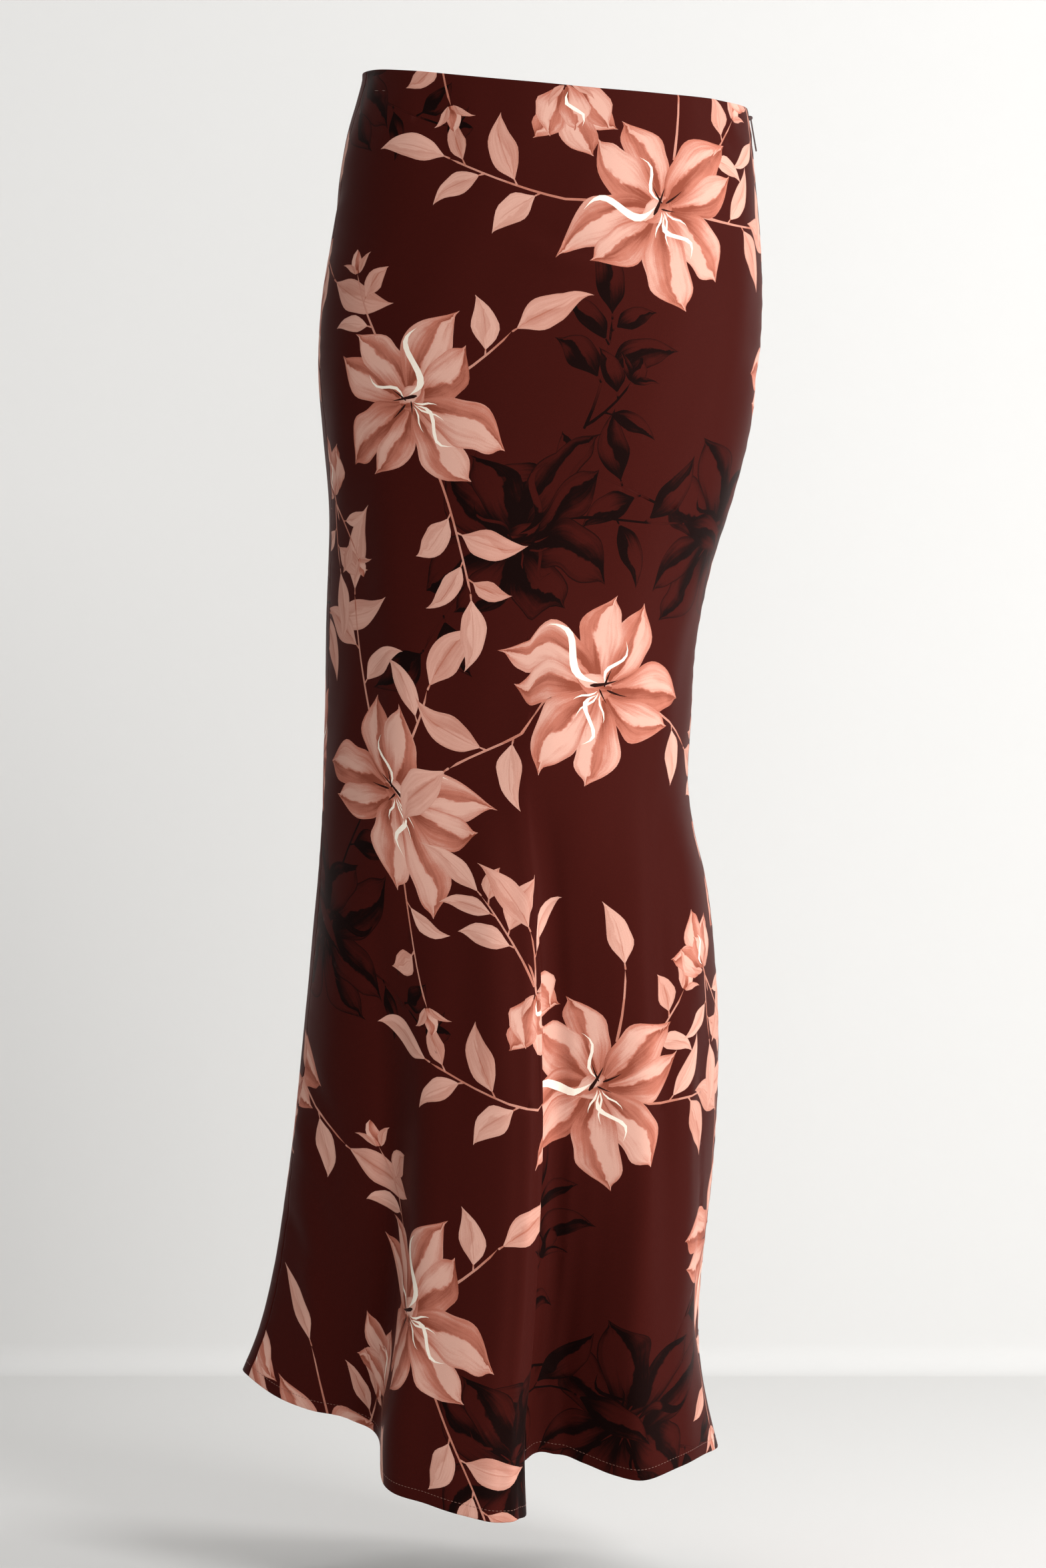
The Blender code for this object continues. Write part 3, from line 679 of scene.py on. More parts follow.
def turned_edges(columns, rows, kept):
    """Lines that the mesh has to keep so that its turned edges stay round, as pairs of its kept points."""
    number = np.full(len(columns) * len(rows), -1)
    number[kept] = np.arange(len(kept))
    number = number.reshape(len(columns), len(rows))
    lines = list(number[(columns < 1e-6) | (columns > BOARD_WIDTH - 1e-6)])
    lines += list(number.T[(rows < 1e-6) | (rows > BOARD_LENGTH - 1e-6)])
    return [(int(a), int(b)) for line in lines for a, b in zip(line, line[1:]) if a >= 0 and b >= 0]


def cut_panel(name, panel, shift):
    """A panel's mesh: a grid on the board, cut along the print's outlines and hung."""
    columns, rows = board_lines(panel)
    across, down = (a.ravel() for a in np.meshgrid(columns, rows, indexing="ij"))
    kept = on_board(across, down)
    grid = np.stack([across[kept], down[kept]], axis=1)
    half = 1000 * float(panel["rings"]["runs"][-1, -1]) / 2
    painted = []
    for ink, row in print_shapes(-half - 20, half + 20, -12, 1012, shift):
        loop = np.stack(cloth_to_board(panel, *shape_outline(row).T), axis=1)
        if on_board(loop[:, 0], loop[:, 1]).any():
            painted.append((ink, row, loop))
    near = KDTree(sum(len(loop) for _, _, loop in painted))
    for place in np.concatenate([loop for _, _, loop in painted]):
        near.insert((*place, 0.0), 0)
    near.balance()
    clear = []
    for place in grid:
        edge = min(place[0], BOARD_WIDTH - place[0], place[1], BOARD_LENGTH - place[1])
        clear.append(edge < 0.0135 or near.find((*place, 0.0))[2] > 0.0011)
    points = [Vector(place) for place in grid[np.array(clear)]]
    edges = turned_edges(columns, rows, np.flatnonzero(kept)[np.array(clear)])
    for _, _, loop in painted:
        first = len(points)
        points += [Vector(place) for place in loop]
        edges += [(first + k, first + (k + 1) % len(loop)) for k in range(len(loop))]
    verts, _, faces, _, _, _ = delaunay_2d_cdt(points, edges, [], 0, 1e-7, False)
    verts = np.array([tuple(v) for v in verts])
    faces = np.array(faces)
    middles = verts[faces].mean(axis=1)
    faces = faces[on_board(middles[:, 0], middles[:, 1])]
    used, faces = np.unique(faces, return_inverse=True)
    faces = faces.reshape(-1, 3)[:, ::-1]
    verts = verts[used]
    mesh = bpy.data.meshes.new(name)
    mesh.from_pydata(hang(panel, *verts.T).tolist(), [], faces.tolist())
    paint_mesh(mesh, panel, verts, faces, painted)
    return mesh


def paint_mesh(mesh, panel, verts, faces, painted):
    """Writes which shape of the print each face is in, and where in that shape its corners are."""
    middles = verts[faces].mean(axis=1)
    owner = np.full(len(faces), -1)
    for k, (_, _, loop) in enumerate(painted):
        low, high = loop.min(axis=0), loop.max(axis=0)
        close = np.flatnonzero(((middles > low) & (middles < high)).all(axis=1))
        owner[close[inside(middles[close], loop)]] = k
    cloth = np.stack(board_to_cloth(panel, *verts.T), axis=1)
    corners = cloth[faces]
    motif = np.zeros((len(faces), 3, 2))
    written = ("petal", "leaf", "gleam", "ink", "shadow", "tone", "fold", "seed")
    values = {key: np.zeros(len(faces)) for key in written}
    for k in np.unique(owner[owner >= 0]):
        ink, row, _ = painted[k]
        mine = owner == k
        share, aside = shape_coordinates(row, corners[mine].reshape(-1, 2))
        motif[mine] = np.stack([share, aside * 0.5 + 0.5], axis=1).reshape(-1, 3, 2)
        kind = "petal" if row[0] in PETAL_KINDS else "leaf" if row[0] in LEAF_KINDS else row[0]
        values[kind][mine] = 1.0
        values["shadow"][mine] = float(ink == "shadow")
        values["tone"][mine] = row[7]
        values["fold"][mine] = row[8]
        values["seed"][mine] = (k * 0.137) % 1.0
    for key, uv in (("cloth", corners), ("motif", motif)):
        layer = mesh.uv_layers.new(name=key)
        layer.data.foreach_set("uv", uv.astype(np.float32).ravel())
    for key, value in values.items():
        layer = mesh.attributes.new(key, "FLOAT", "CORNER")
        layer.data.foreach_set("value", np.repeat(value, 3).astype(np.float32))


def add_node(tree, kind, inputs=(), **settings):
    """A shader node with its settings, and its inputs linked or set."""
    made = tree.nodes.new(kind)
    for name, value in settings.items():
        setattr(made, name, value)
    for key, value in dict(inputs).items():
        if isinstance(value, bpy.types.NodeSocket):
            tree.links.new(value, made.inputs[key])
        else:
            made.inputs[key].default_value = value
    return made


def maths(tree, operation, first, second=0.0, third=0.0, clamp=False):
    terms = {0: first, 1: second, 2: third}
    return add_node(tree, "ShaderNodeMath", terms, operation=operation, use_clamp=clamp).outputs[0]


def blend_colours(tree, share, first, second, how="MIX"):
    made = add_node(tree, "ShaderNodeMix", data_type="RGBA", blend_type=how)
    for key, value in ((0, share), (6, first), (7, second)):
        if isinstance(value, bpy.types.NodeSocket):
            tree.links.new(value, made.inputs[key])
        elif key == 0:
            made.inputs[key].default_value = value
        else:
            made.inputs[key].default_value = (*value, 1.0)
    return made.outputs[2]


def read(tree, name):
    """A value that is written on the mesh."""
    return add_node(tree, "ShaderNodeAttribute", attribute_name=name).outputs["Fac"]


def rise(tree, value, low, high):
    """0 at low and 1 at high, smooth between them."""
    made = add_node(
        tree,
        "ShaderNodeMapRange",
        {"Value": value, "From Min": low, "From Max": high},
        interpolation_type="SMOOTHSTEP",
        clamp=True,
    )
    return made.outputs[0]


def noise(tree, vector, scale, detail=2.0, rough=0.5):
    settings = {"Vector": vector, "Scale": scale, "Detail": detail, "Roughness": rough}
    return add_node(tree, "ShaderNodeTexNoise", settings).outputs["Fac"]


def vector_of(tree, x, y, z=0.0):
    return add_node(tree, "ShaderNodeCombineXYZ", {0: x, 1: y, 2: z}).outputs[0]


def start_material(name, roughness, specular=0.5, metallic=0.0):
    """A new material, its node tree and its shader."""
    material = bpy.data.materials.new(name)
    material.use_nodes = True
    shader = material.node_tree.nodes["Principled BSDF"]
    shader.inputs["Roughness"].default_value = roughness
    shader.inputs["Specular IOR Level"].default_value = specular
    shader.inputs["Metallic"].default_value = metallic
    return material, material.node_tree, shader


GROUND = (0.046, 0.0066, 0.0050)
GROUND_GRAIN = (0.030, 0.0040, 0.0030)
SHADOW_INK = (0.0060, 0.0026, 0.0024)
PETAL_LIGHT = (0.66, 0.370, 0.293)
PETAL_MIDDLE = (0.46, 0.155, 0.105)
PETAL_DARK = (0.24, 0.058, 0.034)
LEAF_LIGHT = (0.65, 0.360, 0.284)
LEAF_DARK = (0.39, 0.128, 0.083)
CREAM = (0.90, 0.80, 0.68)
INK = (0.020, 0.006, 0.005)


def printed_colour(tree):
    """Colour of the print on the cloth's face."""
    cloth = add_node(tree, "ShaderNodeUVMap", uv_map="cloth").outputs[0]
    place_in_shape = add_node(tree, "ShaderNodeUVMap", uv_map="motif").outputs[0]
    motif = add_node(tree, "ShaderNodeSeparateXYZ", {0: place_in_shape})
    share = motif.outputs[0]
    aside = maths(tree, "MULTIPLY_ADD", motif.outputs[1], 2.0, -1.0)
    seed = read(tree, "seed")
    fold = read(tree, "fold")
    out_to_edge = maths(tree, "ABSOLUTE", aside)
    seed_far = maths(tree, "MULTIPLY", seed, 40.0)
    share_far = maths(tree, "MULTIPLY", share, 2.2)
    streak_place = vector_of(tree, share_far, maths(tree, "MULTIPLY", aside, 7.0), seed_far)
    streaks = noise(tree, streak_place, 1.0, 4.0, 0.62)
    blot = noise(tree, cloth, 70.0, 3.0, 0.55)
    grain = noise(tree, cloth, 1400.0, 2.0, 0.6)
    base = maths(tree, "SUBTRACT", 1.0, rise(tree, share, 0.0, 0.58))
    swing = maths(tree, "MULTIPLY_ADD", share, 4.4, maths(tree, "MULTIPLY", seed, 6.3))
    swing = maths(tree, "MULTIPLY", maths(tree, "SINE", swing), 0.20)
    fold_line = maths(tree, "MULTIPLY_ADD", maths(tree, "SUBTRACT", blot, 0.5), 0.5, swing)
    beyond = maths(tree, "SUBTRACT", maths(tree, "MULTIPLY", aside, fold), fold_line)
    fades = maths(tree, "SUBTRACT", 1.0, rise(tree, beyond, 0.05, 0.85))
    flank = maths(tree, "MULTIPLY", rise(tree, beyond, -0.03, 0.07), fades)
    from_ridge = maths(tree, "ABSOLUTE", maths(tree, "ADD", beyond, 0.22))
    lit = maths(tree, "SUBTRACT", 1.0, rise(tree, from_ridge, 0.0, 0.34))
    rim = rise(tree, out_to_edge, 0.74, 1.0)
    tip = rise(tree, share, 0.74, 1.0)
    streaked = maths(tree, "SUBTRACT", streaks, 0.5)
    grained = maths(tree, "SUBTRACT", grain, 0.5)
    paler = maths(tree, "SUBTRACT", 1.0, read(tree, "tone"))
    dark = maths(tree, "MULTIPLY", base, 0.62)
    dark = maths(tree, "MULTIPLY_ADD", flank, 0.62, dark)
    dark = maths(tree, "MULTIPLY_ADD", lit, -0.24, dark)
    dark = maths(tree, "MULTIPLY_ADD", rim, 0.20, dark)
    dark = maths(tree, "MULTIPLY_ADD", tip, 0.30, dark)
    dark = maths(tree, "MULTIPLY_ADD", streaked, 0.80, dark)
    dark = maths(tree, "MULTIPLY_ADD", paler, 0.55, dark)
    dark = maths(tree, "MULTIPLY_ADD", grained, 0.34, dark)
    petal = blend_colours(tree, rise(tree, dark, -0.05, 0.62), PETAL_LIGHT, PETAL_MIDDLE)
    petal = blend_colours(tree, rise(tree, dark, 0.50, 1.15), petal, PETAL_DARK)

    vein = maths(tree, "SUBTRACT", 1.0, rise(tree, out_to_edge, 0.0, 0.09))
    vein = maths(tree, "MULTIPLY", vein, maths(tree, "SUBTRACT", 1.0, rise(tree, share, 0.62, 0.92)))
    leaf_dark = maths(tree, "MULTIPLY_ADD", vein, 0.36, maths(tree, "MULTIPLY", flank, 0.30))
    leaf_dark = maths(tree, "MULTIPLY_ADD", streaked, 0.75, leaf_dark)
    leaf_dark = maths(tree, "MULTIPLY_ADD", rim, 0.20, leaf_dark)
    leaf_dark = maths(tree, "MULTIPLY_ADD", tip, 0.16, leaf_dark)
    leaf_dark = maths(tree, "MULTIPLY_ADD", paler, 1.10, leaf_dark)
    leaf_dark = maths(tree, "MULTIPLY_ADD", grained, 0.3, leaf_dark, clamp=True)
    leaf = blend_colours(tree, leaf_dark, LEAF_LIGHT, LEAF_DARK)

    hem_of_shape = rise(tree, out_to_edge, 0.90, 0.985)
    cover = maths(tree, "MULTIPLY_ADD", flank, 0.85, maths(tree, "MULTIPLY", base, 0.85))
    cover = maths(tree, "MULTIPLY_ADD", rise(tree, out_to_edge, 0.50, 1.0), 0.34, cover)
    cover = maths(tree, "MULTIPLY_ADD", tip, 0.45, cover)
    cover = maths(tree, "MULTIPLY_ADD", streaked, 0.9, cover)
    outline = maths(tree, "MULTIPLY", hem_of_shape, 0.85)
    cover = maths(tree, "MAXIMUM", rise(tree, cover, 0.05, 0.85), outline)

    ground = blend_colours(tree, maths(tree, "MULTIPLY", grain, 0.45, clamp=True), GROUND, GROUND_GRAIN)
    shadow = maths(tree, "MULTIPLY", cover, read(tree, "shadow"))
    colour = blend_colours(tree, shadow, ground, SHADOW_INK)
    pink = maths(tree, "SUBTRACT", 1.0, read(tree, "shadow"))
    for name, tint in (("petal", petal), ("leaf", leaf), ("gleam", CREAM), ("ink", INK)):
        colour = blend_colours(tree, maths(tree, "MULTIPLY", read(tree, name), pink), colour, tint)
    return colour, cloth, grain


def satin_bump(tree, cloth, grain, strength):
    """Fine crepe grain and slanting floats of the weave."""
    weave = add_node(
        tree,
        "ShaderNodeTexWave",
        {"Vector": cloth, "Scale": 520.0, "Distortion": 1.5, "Detail": 1.0},
        wave_type="BANDS",
        bands_direction="DIAGONAL",
    ).outputs["Fac"]
    height = maths(tree, "MULTIPLY_ADD", weave, 0.4, grain)
    relief = {"Height": height, "Strength": strength, "Distance": 0.0002}
    return add_node(tree, "ShaderNodeBump", relief).outputs[0]


def satin_face():
    material, tree, shader = start_material("printed_satin_face", 0.48, 0.03)
    colour, cloth, grain = printed_colour(tree)
    tree.links.new(colour, shader.inputs["Base Color"])
    tree.links.new(satin_bump(tree, cloth, grain, 0.30), shader.inputs["Normal"])
    shader.inputs["Specular Tint"].default_value = (1.0, 0.34, 0.27, 1.0)
    shader.inputs["Sheen Weight"].default_value = 0.05
    shader.inputs["Sheen Roughness"].default_value = 0.35
    shader.inputs["Sheen Tint"].default_value = (1.0, 0.32, 0.25, 1.0)
    tree.links.new(maths(tree, "MULTIPLY_ADD", grain, 0.14, 0.40), shader.inputs["Roughness"])
    return material


def satin_back():
    """The dull reverse of the cloth, where the print shows through faintly."""
    material, tree, shader = start_material("printed_satin_reverse", 0.75, 0.25)
    colour, cloth, grain = printed_colour(tree)
    faded = blend_colours(tree, 0.72, colour, (0.070, 0.022, 0.019))
    tree.links.new(faded, shader.inputs["Base Color"])
    tree.links.new(satin_bump(tree, cloth, grain, 0.45), shader.inputs["Normal"])
    shader.inputs["Sheen Weight"].default_value = 0.15
    return material


satin_materials = (satin_face(), satin_back())


def add_piece(name, mesh, materials):
    """An object for a finished mesh, made active and alone selected."""
    for material in materials:
        mesh.materials.append(material)
    mesh.shade_smooth()
    made = bpy.data.objects.new(name, mesh)
    bpy.context.scene.collection.objects.link(made)
    bpy.ops.object.select_all(action="DESELECT")
    made.select_set(True)
    bpy.context.view_layer.objects.active = made
    return made


def make_panel(name, panel, shift):
    """A panel with its thickness, and the cloth's reverse on its inner side."""
    made = add_piece(name, cut_panel(name, panel, shift), satin_materials)
    wall = made.modifiers.new("wall", "SOLIDIFY")
    wall.thickness = CLOTH_THICK
    wall.offset = -1.0
    wall.material_offset = 1
    bpy.ops.object.modifier_apply(modifier="wall")
    return made


front = start_panel(LEFT_SEAM, ZIP_SEAM, False)
front_cloth = make_panel("front_satin", front, (0.0, 0.0))
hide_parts("front_panel")
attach(front_cloth, "skirt")


# Back panel ----------------------------------------------------------------------------------------------
# The back of the skirt: the same printed satin, cut fuller than the front over the seat and flared below.
# It is sewn to the front panel at the wearer's right side, and the zip joins them at the left side.

back = start_panel(ZIP_SEAM, LEFT_SEAM + 360.0, True)
back_cloth = make_panel("back_satin", back, (140.0, 95.0))
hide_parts("back_panel")
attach(back_cloth, "skirt")


# Hem stitching -------------------------------------------------------------------------------------------
# One row of lockstitch round the skirt, 7.7 mm above the folded edge, that holds the turned-up hem. The
# thread is a fine polyester, a little lighter than the cloth, and each stitch is drawn slightly into it.

HEM_STITCH_UP = 0.0077
STITCH_PITCH = 0.0027
STITCH_LENGTH = 0.0019
THREAD_HALF = 0.00018


def model_stitch(length, half):
    """One stitch along X, with its underside cut away. Up is +Z."""
    bpy.ops.object.select_all(action="DESELECT")
    lying = (0.0, radians(90), 0.0)
    bpy.ops.mesh.primitive_uv_sphere_add(segments=8, ring_count=5, radius=1.0, rotation=lying)
    made = bpy.context.object
    bpy.ops.object.transform_apply(location=False, rotation=True, scale=False)
    bpy.ops.object.mode_set(mode="EDIT")
    bpy.ops.mesh.select_all(action="SELECT")
    bpy.ops.transform.resize(value=(length / 2, half, half))
    cut = (0.0, 0.0, -half * 0.4)
    bpy.ops.mesh.bisect(plane_co=cut, plane_no=(0.0, 0.0, 1.0), clear_inner=True, use_fill=True)
    bpy.ops.object.mode_set(mode="OBJECT")
    return made


def copy_along(name, pattern, points, ahead, out, stretch=1.0):
    """One mesh of copies of pattern, whose X turns to ahead and Z to out at each point. Removes pattern."""
    verts = np.array([v.co for v in pattern.data.vertices])
    faces = [np.array(p.vertices) for p in pattern.data.polygons]
    ahead = ahead - (ahead * out).sum(axis=1, keepdims=True) * out
    ahead = ahead / np.linalg.norm(ahead, axis=1, keepdims=True)
    left = np.cross(out, ahead)
    ahead = ahead * stretch
    spread = verts[None, :, :1] * ahead[:, None] + verts[None, :, 1:2] * left[:, None]
    spread = spread + verts[None, :, 2:] * out[:, None] + points[:, None]
    mesh = bpy.data.meshes.new(name)
    rows = [(face + k * len(verts)).tolist() for k in range(len(points)) for face in faces]
    mesh.from_pydata(spread.reshape(-1, 3).tolist(), [], rows)
    bpy.data.objects.remove(pattern)
    return mesh


def cloth_line(panel, along, fall):
    """Points of the panel's face, the direction along its ring and the direction out of it."""
    def at(place):
        points, out = draped(turn_at(panel["rings"], place, fall), fall)
        return points + puckers(panel, place, fall)[:, None] * out, out

    points, out = at(along)
    ahead = at(along + 0.001)[0] - at(along - 0.001)[0]
    return points, ahead, out


def thread_material(name, light, dark):
    """Twisted thread: fine light and dark turns, and a low sheen."""
    material, tree, shader = start_material(name, 0.55, 0.35)
    place = add_node(tree, "ShaderNodeTexCoord").outputs["Object"]
    twist = noise(tree, place, 3200.0, 2.0)
    colour = blend_colours(tree, rise(tree, twist, 0.35, 0.65), dark, light)
    tree.links.new(colour, shader.inputs["Base Color"])
    shader.inputs["Sheen Weight"].default_value = 0.2
    return material


hem_places = []
stitch_fall = 1 - HEM_STITCH_UP / HEM_DROP
for panel in (front, back):
    first, width = (float(value) for value in panel_reach(panel, stitch_fall))
    along = np.arange(first + 0.002, first + width - 0.002, STITCH_PITCH)
    hem_places.append(cloth_line(panel, along, np.full_like(along, stitch_fall)))
hem_points, hem_ahead, hem_out = (np.concatenate(part) for part in zip(*hem_places))
hem_stitch = model_stitch(STITCH_LENGTH, THREAD_HALF)
hem_mesh = copy_along("hem_stitching", hem_stitch, hem_points, hem_ahead, hem_out)
hem_thread = thread_material("hem_thread", (0.30, 0.13, 0.09), (0.13, 0.05, 0.035))
hem_stitching = add_piece("hem_stitching", hem_mesh, [hem_thread])
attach(hem_stitching, "skirt")


# Tacks ---------------------------------------------------------------------------------------------------
# Two small hand tacks under the waist edge hold the turned-in edge at the sides: one long thin stitch at the
# wearer's right, and three short ones close together by the zip.

TACK_LENGTH = 0.0040
TACK_HALF = 0.00014
# x, and drop under the waist edge, of each stitch's middle; its length and its slope.
TACK_COLUMNS = ("x", "drop", "length", "slope")
TACKS = (
    (-0.1250, 0.0160, 0.0048, 0.02),
    (-0.1196, 0.0160, 0.0036, 0.02),
    (0.1130, 0.0180, 0.0040, 0.12),
    (0.1140, 0.0191, 0.0045, 0.10),
    (0.1146, 0.0203, 0.0036, 0.06),
)


def front_place(x, drop):
    """How far along the front panel's ring its face has this x."""
    fall = drop / HEM_DROP
    ring = cloth_points(front["rings"]["turns"], fall)
    turn = np.interp(x, ring[:, 0], front["rings"]["turns"])
    row = int(round(fall * (len(front["rings"]["falls"]) - 1)))
    return float(np.interp(turn, front["rings"]["turns"], front["rings"]["runs"][row]))


tack_drops = column(TACKS, TACK_COLUMNS, "drop")
tack_places = np.array([front_place(x, drop) for x, drop, _, _ in TACKS])
tack_at, tack_ahead, tack_out = cloth_line(front, tack_places, tack_drops / HEM_DROP)
tack_ahead /= np.linalg.norm(tack_ahead, axis=1, keepdims=True)
tack_ahead[:, 2] -= column(TACKS, TACK_COLUMNS, "slope")
tack_stretch = column(TACKS, TACK_COLUMNS, "length")[:, None] / TACK_LENGTH
tack_stitch = model_stitch(TACK_LENGTH, TACK_HALF)
tack_mesh = copy_along("waist_tacks", tack_stitch, tack_at, tack_ahead, tack_out, tack_stretch)
tack_thread = thread_material("tack_thread", (0.34, 0.17, 0.13), (0.18, 0.08, 0.06))
waist_tacks = add_piece("waist_tacks", tack_mesh, [tack_thread])
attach(waist_tacks, "skirt")


# Zip tapes -----------------------------------------------------------------------------------------------
# Two strips of narrow woven polyester tape, sewn to the seam allowances behind the zip seam. The closed coil
# is held between their near edges.

ZIP_LENGTH = 0.20
TAPE_NEAR = 0.0020
TAPE_FAR = 0.0122
TAPE_DEPTH = 0.0018
TAPE_THICK = 0.0005
TAPE_ROWS = 90
TAPE_COLUMNS = 5


def tape_material():
    """Herringbone tape: fine ribs along it, and a close weave across."""
    material, tree, shader = start_material("zip_tape_weave", 0.82, 0.2)
    cloth = add_node(tree, "ShaderNodeUVMap", uv_map="tape").outputs[0]
    ribs = add_node(tree, "ShaderNodeTexWave", {"Vector": cloth, "Scale": 230.0}, bands_direction="X")
    picks = add_node(tree, "ShaderNodeTexWave", {"Vector": cloth, "Scale": 420.0}, bands_direction="Y")
    weave = maths(tree, "MULTIPLY", ribs.outputs["Fac"], picks.outputs["Fac"])
    colour = blend_colours(tree, weave, (0.030, 0.009, 0.009), (0.075, 0.022, 0.020))
    tree.links.new(colour, shader.inputs["Base Color"])
    bump = add_node(tree, "ShaderNodeBump", {"Height": weave, "Strength": 0.5, "Distance": 0.0002})
    tree.links.new(bump.outputs[0], shader.inputs["Normal"])
    return material


tape_weave = tape_material()


def make_tape(name, panel, at_start):
    """One tape, a thin strip behind its panel."""
    fall = np.linspace(0.0018, ZIP_LENGTH, TAPE_ROWS) / HEM_DROP
    whole = np.interp(fall, panel["rings"]["falls"], panel["rings"]["runs"][:, -1])
    shape = bmesh.new()
    layer = shape.loops.layers.uv.new("tape")
    rows, flat = [], {}
    for k in range(TAPE_COLUMNS):
        aside = TAPE_NEAR + (TAPE_FAR - TAPE_NEAR) * k / (TAPE_COLUMNS - 1)
        along = np.full_like(fall, aside) if at_start else whole - aside
        points, out = draped(turn_at(panel["rings"], along, fall), fall)
        rows.append([shape.verts.new(point) for point in points - TAPE_DEPTH * out])
        flat.update({vert: (aside, drop) for vert, drop in zip(rows[-1], fall * HEM_DROP)})
    for first, second in zip(rows, rows[1:]):
        for k in range(TAPE_ROWS - 1):
            corners = (first[k], first[k + 1], second[k + 1], second[k])
            face = shape.faces.new(corners if at_start else corners[::-1])
            for loop in face.loops:
                loop[layer].uv = flat[loop.vert]
    mesh = bpy.data.meshes.new(name)
    shape.to_mesh(mesh)
    shape.free()
    made = add_piece(name, mesh, [tape_weave])
    wall = made.modifiers.new("wall", "SOLIDIFY")
    wall.thickness = TAPE_THICK
    wall.offset = -1.0
    bpy.ops.object.modifier_apply(modifier="wall")
    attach(made, "skirt")
    return made


front_tape = make_tape("front_zip_tape", front, False)
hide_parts("zip_tape_front")
back_tape = make_tape("back_zip_tape", back, True)
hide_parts("zip_tape_back")


# Zip coil ------------------------------------------------------------------------------------------------
# The closed coil: two spirals of nylon monofilament whose loops lock into each other behind the seam, from
# under the slider to the zip's lower end.

COIL_TOP = 0.0124
COIL_PITCH = 0.00135
COIL_ASIDE = 0.00075  # of the middle of each loop from the seam
LOOP_HALF_WIDTH = 0.0011
LOOP_HALF_DEPTH = 0.0005
WIRE_RADIUS = 0.00027
COIL_DEPTH = 0.0027  # of the coil's middle behind the cloth's face


def model_loop():
    """One loop of the coil: a flattened ring, open down the middle, leaning along the seam."""
    bpy.ops.object.select_all(action="DESELECT")
    bpy.ops.mesh.primitive_torus_add(
        major_segments=9, minor_segments=5, major_radius=LOOP_HALF_WIDTH, minor_radius=WIRE_RADIUS
    )
    made = bpy.context.object
    bpy.ops.object.mode_set(mode="EDIT")
    bpy.ops.mesh.select_all(action="SELECT")
    bpy.ops.transform.resize(value=(1.0, LOOP_HALF_DEPTH / LOOP_HALF_WIDTH, 1.0))
    bpy.ops.transform.rotate(value=radians(90), orient_axis="X", center_override=(0.0, 0.0, 0.0))
    bpy.ops.object.mode_set(mode="OBJECT")
    for vert in made.data.vertices:
        vert.co.y += 0.25 * COIL_PITCH * vert.co.x / LOOP_HALF_WIDTH
    return made


def seam_line(drops):
    """Points on the zip seam, the way round the body and the way out of it."""
    along = np.zeros_like(drops)
    return cloth_line(back, along + 1e-5, drops / HEM_DROP)


coil_meshes = []
for side, start in ((1, 0.0), (-1, COIL_PITCH / 2)):
    coil_drops = np.arange(COIL_TOP + start, ZIP_LENGTH - 0.001, COIL_PITCH)
    coil_at, coil_ahead, coil_out = seam_line(coil_drops)
    coil_ahead = coil_ahead / np.linalg.norm(coil_ahead, axis=1, keepdims=True)
    coil_at = coil_at + side * COIL_ASIDE * coil_ahead - COIL_DEPTH * coil_out
    coil_meshes.append((coil_at, side * coil_ahead, coil_out))
coil_at, coil_ahead, coil_out = (np.concatenate(part) for part in zip(*coil_meshes))
coil_nylon, coil_tree, coil_shader = start_material("coil_nylon", 0.32, 0.5)
coil_place = add_node(coil_tree, "ShaderNodeTexCoord").outputs["Object"]
coil_cloud = rise(coil_tree, noise(coil_tree, coil_place, 900.0, 2.0), 0.3, 0.7)
coil_tint = blend_colours(coil_tree, coil_cloud, (0.045, 0.013, 0.012), (0.085, 0.025, 0.022))
coil_tree.links.new(coil_tint, coil_shader.inputs["Base Color"])
coil_shader.inputs["Subsurface Weight"].default_value = 0.08
coil_mesh = copy_along("zip_coil_loops", model_loop(), coil_at, coil_ahead, coil_out)
coil = add_piece("zip_coil_loops", coil_mesh, [coil_nylon])
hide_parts("zip_coil")
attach(coil, "skirt")


# Slider and pull -----------------------------------------------------------------------------------------
# The zip's slider and its teardrop pull: die-cast zinc, painted to match the cloth. The slider stands in the
# notch at the top of the seam, and the pull hangs on its pin, flat on the cloth.


def painted_zinc():
    """Baked enamel over zinc: a little orange peel, and the paint worn thin here and there."""
    material, tree, shader = start_material("painted_zinc", 0.34, 0.5)
    place = add_node(tree, "ShaderNodeTexCoord").outputs["Object"]
    cloud = noise(tree, place, 500.0, 3.0)
    worn = rise(tree, noise(tree, place, 1300.0, 4.0, 0.7), 0.66, 0.74)
    paint = blend_colours(tree, cloud, (0.040, 0.011, 0.010), (0.070, 0.021, 0.019))
    tree.links.new(blend_colours(tree, worn, paint, (0.16, 0.075, 0.065)), shader.inputs["Base Color"])
    tree.links.new(maths(tree, "MULTIPLY_ADD", cloud, 0.18, 0.26), shader.inputs["Roughness"])
    tree.links.new(maths(tree, "MULTIPLY", worn, 0.6), shader.inputs["Metallic"])
    ripple = noise(tree, place, 2200.0, 1.0)
    peel = add_node(tree, "ShaderNodeBump", {"Height": ripple, "Strength": 0.15, "Distance": 0.0001})
    tree.links.new(peel.outputs[0], shader.inputs["Normal"])
    shader.inputs["Coat Weight"].default_value = 0.25
    return material


zinc = painted_zinc()
for node_name in ("zip_slider", "zip_pull"):
    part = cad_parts[node_name]
    for material_slot in part.material_slots:
        material_slot.material = zinc


# Studio --------------------------------------------------------------------------------------------------
# A pale floor that sweeps up into a pale wall, large soft lights, and the camera at the photograph's angle.

FLOOR_HEIGHT = -1.061
WALL_BEHIND = 1.30


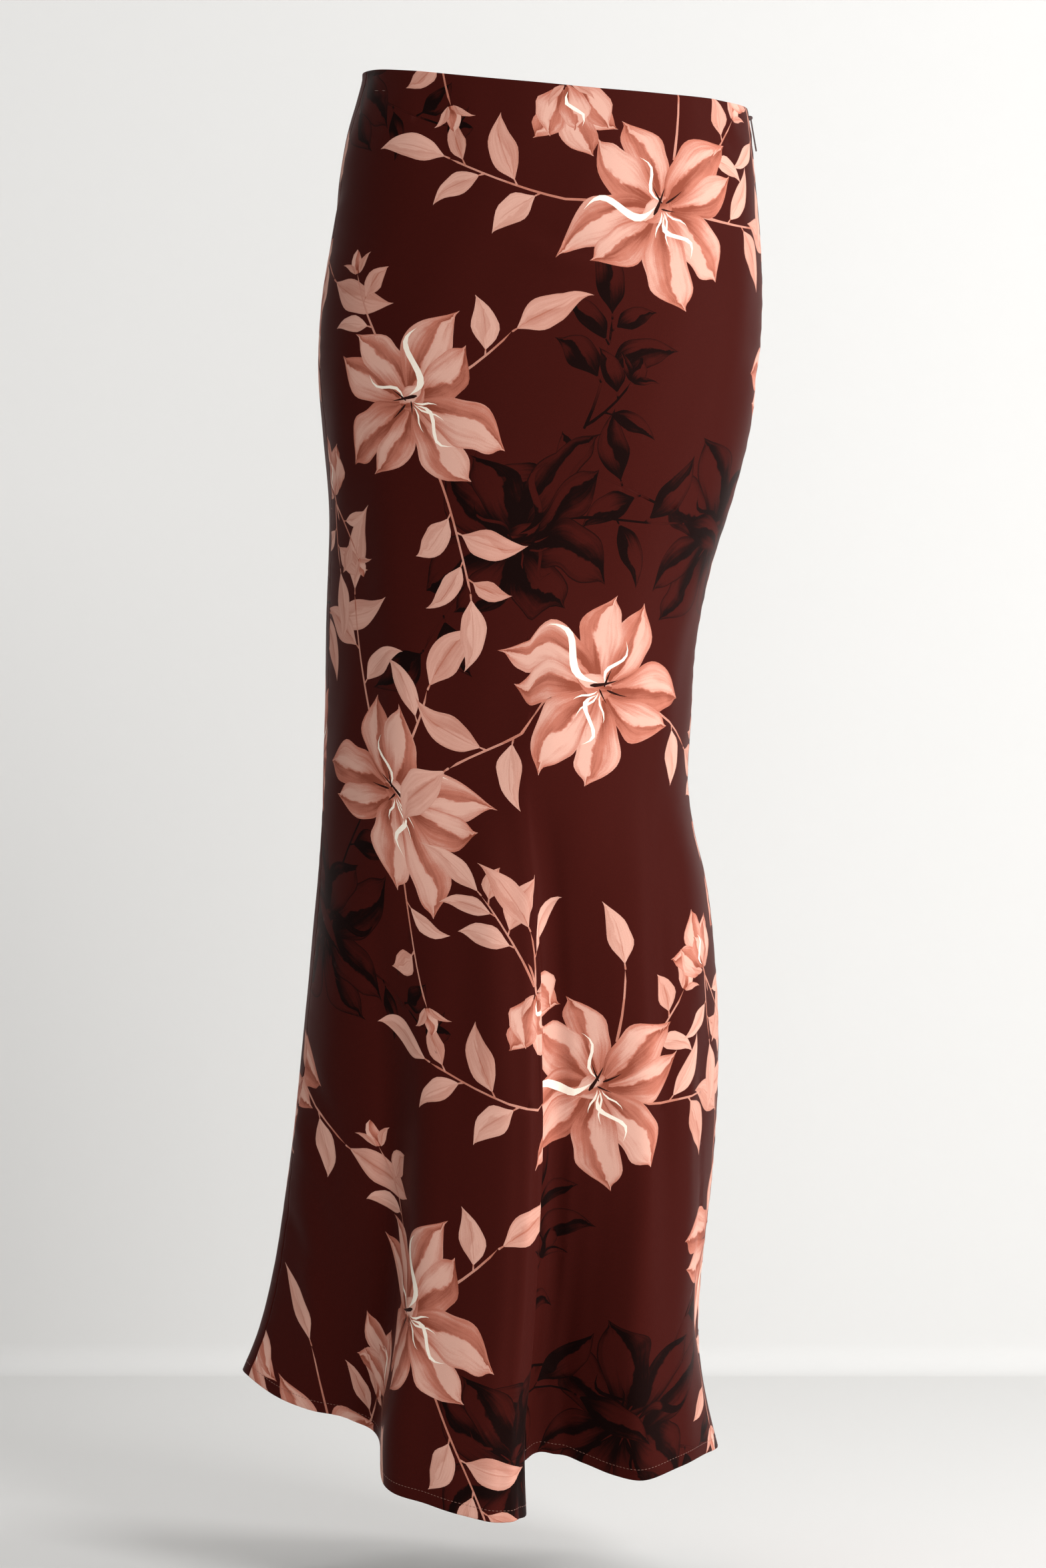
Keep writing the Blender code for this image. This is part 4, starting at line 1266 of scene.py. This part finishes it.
def make_backdrop():
    """Floor and wall as one sheet with a tight curve between them."""
    bpy.ops.object.select_all(action="DESELECT")
    bpy.ops.mesh.primitive_plane_add(size=1.0, location=(0.0, 0.0, FLOOR_HEIGHT))
    made = bpy.context.object
    made.name = "backdrop"
    shape = bmesh.new()
    rows = []
    bend = 0.03
    profile = [(-3.0, 0.0), (WALL_BEHIND - bend, 0.0)]
    for angle in range(10, 91, 10):
        turn = radians(angle)
        profile.append((WALL_BEHIND - bend + bend * sin(turn), bend - bend * cos(turn)))
    profile.append((WALL_BEHIND, 4.5))
    for y, z in profile:
        rows.append([shape.verts.new((x, y, FLOOR_HEIGHT + z)) for x in (-2.6, 2.6)])
    for first, second in zip(rows, rows[1:]):
        shape.faces.new((first[0], first[1], second[1], second[0]))
    shape.to_mesh(made.data)
    shape.free()
    made.location = (0.0, 0.0, 0.0)
    made.data.shade_smooth()
    material, tree, shader = start_material("studio_white", 0.9, 0.2)
    shader.inputs["Base Color"].default_value = (0.71, 0.704, 0.690, 1.0)
    side = tree.nodes.new("ShaderNodeNewGeometry")
    clear = tree.nodes.new("ShaderNodeBsdfTransparent")
    choice = tree.nodes.new("ShaderNodeMixShader")
    tree.links.new(side.outputs["Backfacing"], choice.inputs["Fac"])
    tree.links.new(shader.outputs["BSDF"], choice.inputs[1])
    tree.links.new(clear.outputs["BSDF"], choice.inputs[2])
    tree.links.new(choice.outputs["Shader"], tree.nodes["Material Output"].inputs["Surface"])
    made.data.materials.append(material)


def add_light(name, place, target, size, power, colour=(1.0, 1.0, 1.0)):
    light = bpy.data.lights.new(name, "AREA")
    light.shape = "RECTANGLE"
    light.size, light.size_y = size
    light.energy = power
    light.color = colour
    made = bpy.data.objects.new(name, light)
    bpy.context.scene.collection.objects.link(made)
    made.location = place
    made.rotation_euler = (Vector(target) - Vector(place)).to_track_quat("-Z", "Y").to_euler()
    made.visible_camera = False


make_backdrop()
add_light("key_light", (1.7, -3.1, 1.4), (0.0, 0.0, -0.45), (1.3, 1.8), 90.0)
add_light("front_light", (0.1, -3.9, 0.0), (0.0, 0.0, -0.5), (1.0, 1.8), 12.0)
add_light("side_light", (2.2, -0.6, 0.1), (0.0, 0.0, -0.5), (0.9, 2.2), 52.0)
add_light("top_light", (0.0, 0.3, 2.4), (0.0, 0.3, -1.0), (2.4, 1.6), 20.0)

world = bpy.data.worlds.new("studio_air")
world.use_nodes = True
air = world.node_tree
air.nodes["Background"].inputs["Color"].default_value = (1.0, 1.0, 1.0, 1.0)
seen = air.nodes.new("ShaderNodeLightPath")
brightness = air.nodes.new("ShaderNodeMapRange")
brightness.inputs["To Min"].default_value = 0.32
brightness.inputs["To Max"].default_value = 0.78
air.links.new(seen.outputs["Is Camera Ray"], brightness.inputs["Value"])
air.links.new(brightness.outputs["Result"], air.nodes["Background"].inputs["Strength"])
bpy.context.scene.world = world
bpy.context.scene.view_settings.view_transform = "Standard"

camera_data = bpy.data.cameras.new("camera")
camera_data.sensor_fit = "VERTICAL"
camera_data.sensor_height = 36.0
camera_data.lens = 115.76
camera_data.clip_end = 60.0
camera = bpy.data.objects.new("camera", camera_data)
bpy.context.scene.collection.objects.link(camera)
camera.location = (-0.022, -3.6, -0.488)
camera.rotation_euler = (radians(90), 0.0, 0.0)
bpy.context.scene.camera = camera
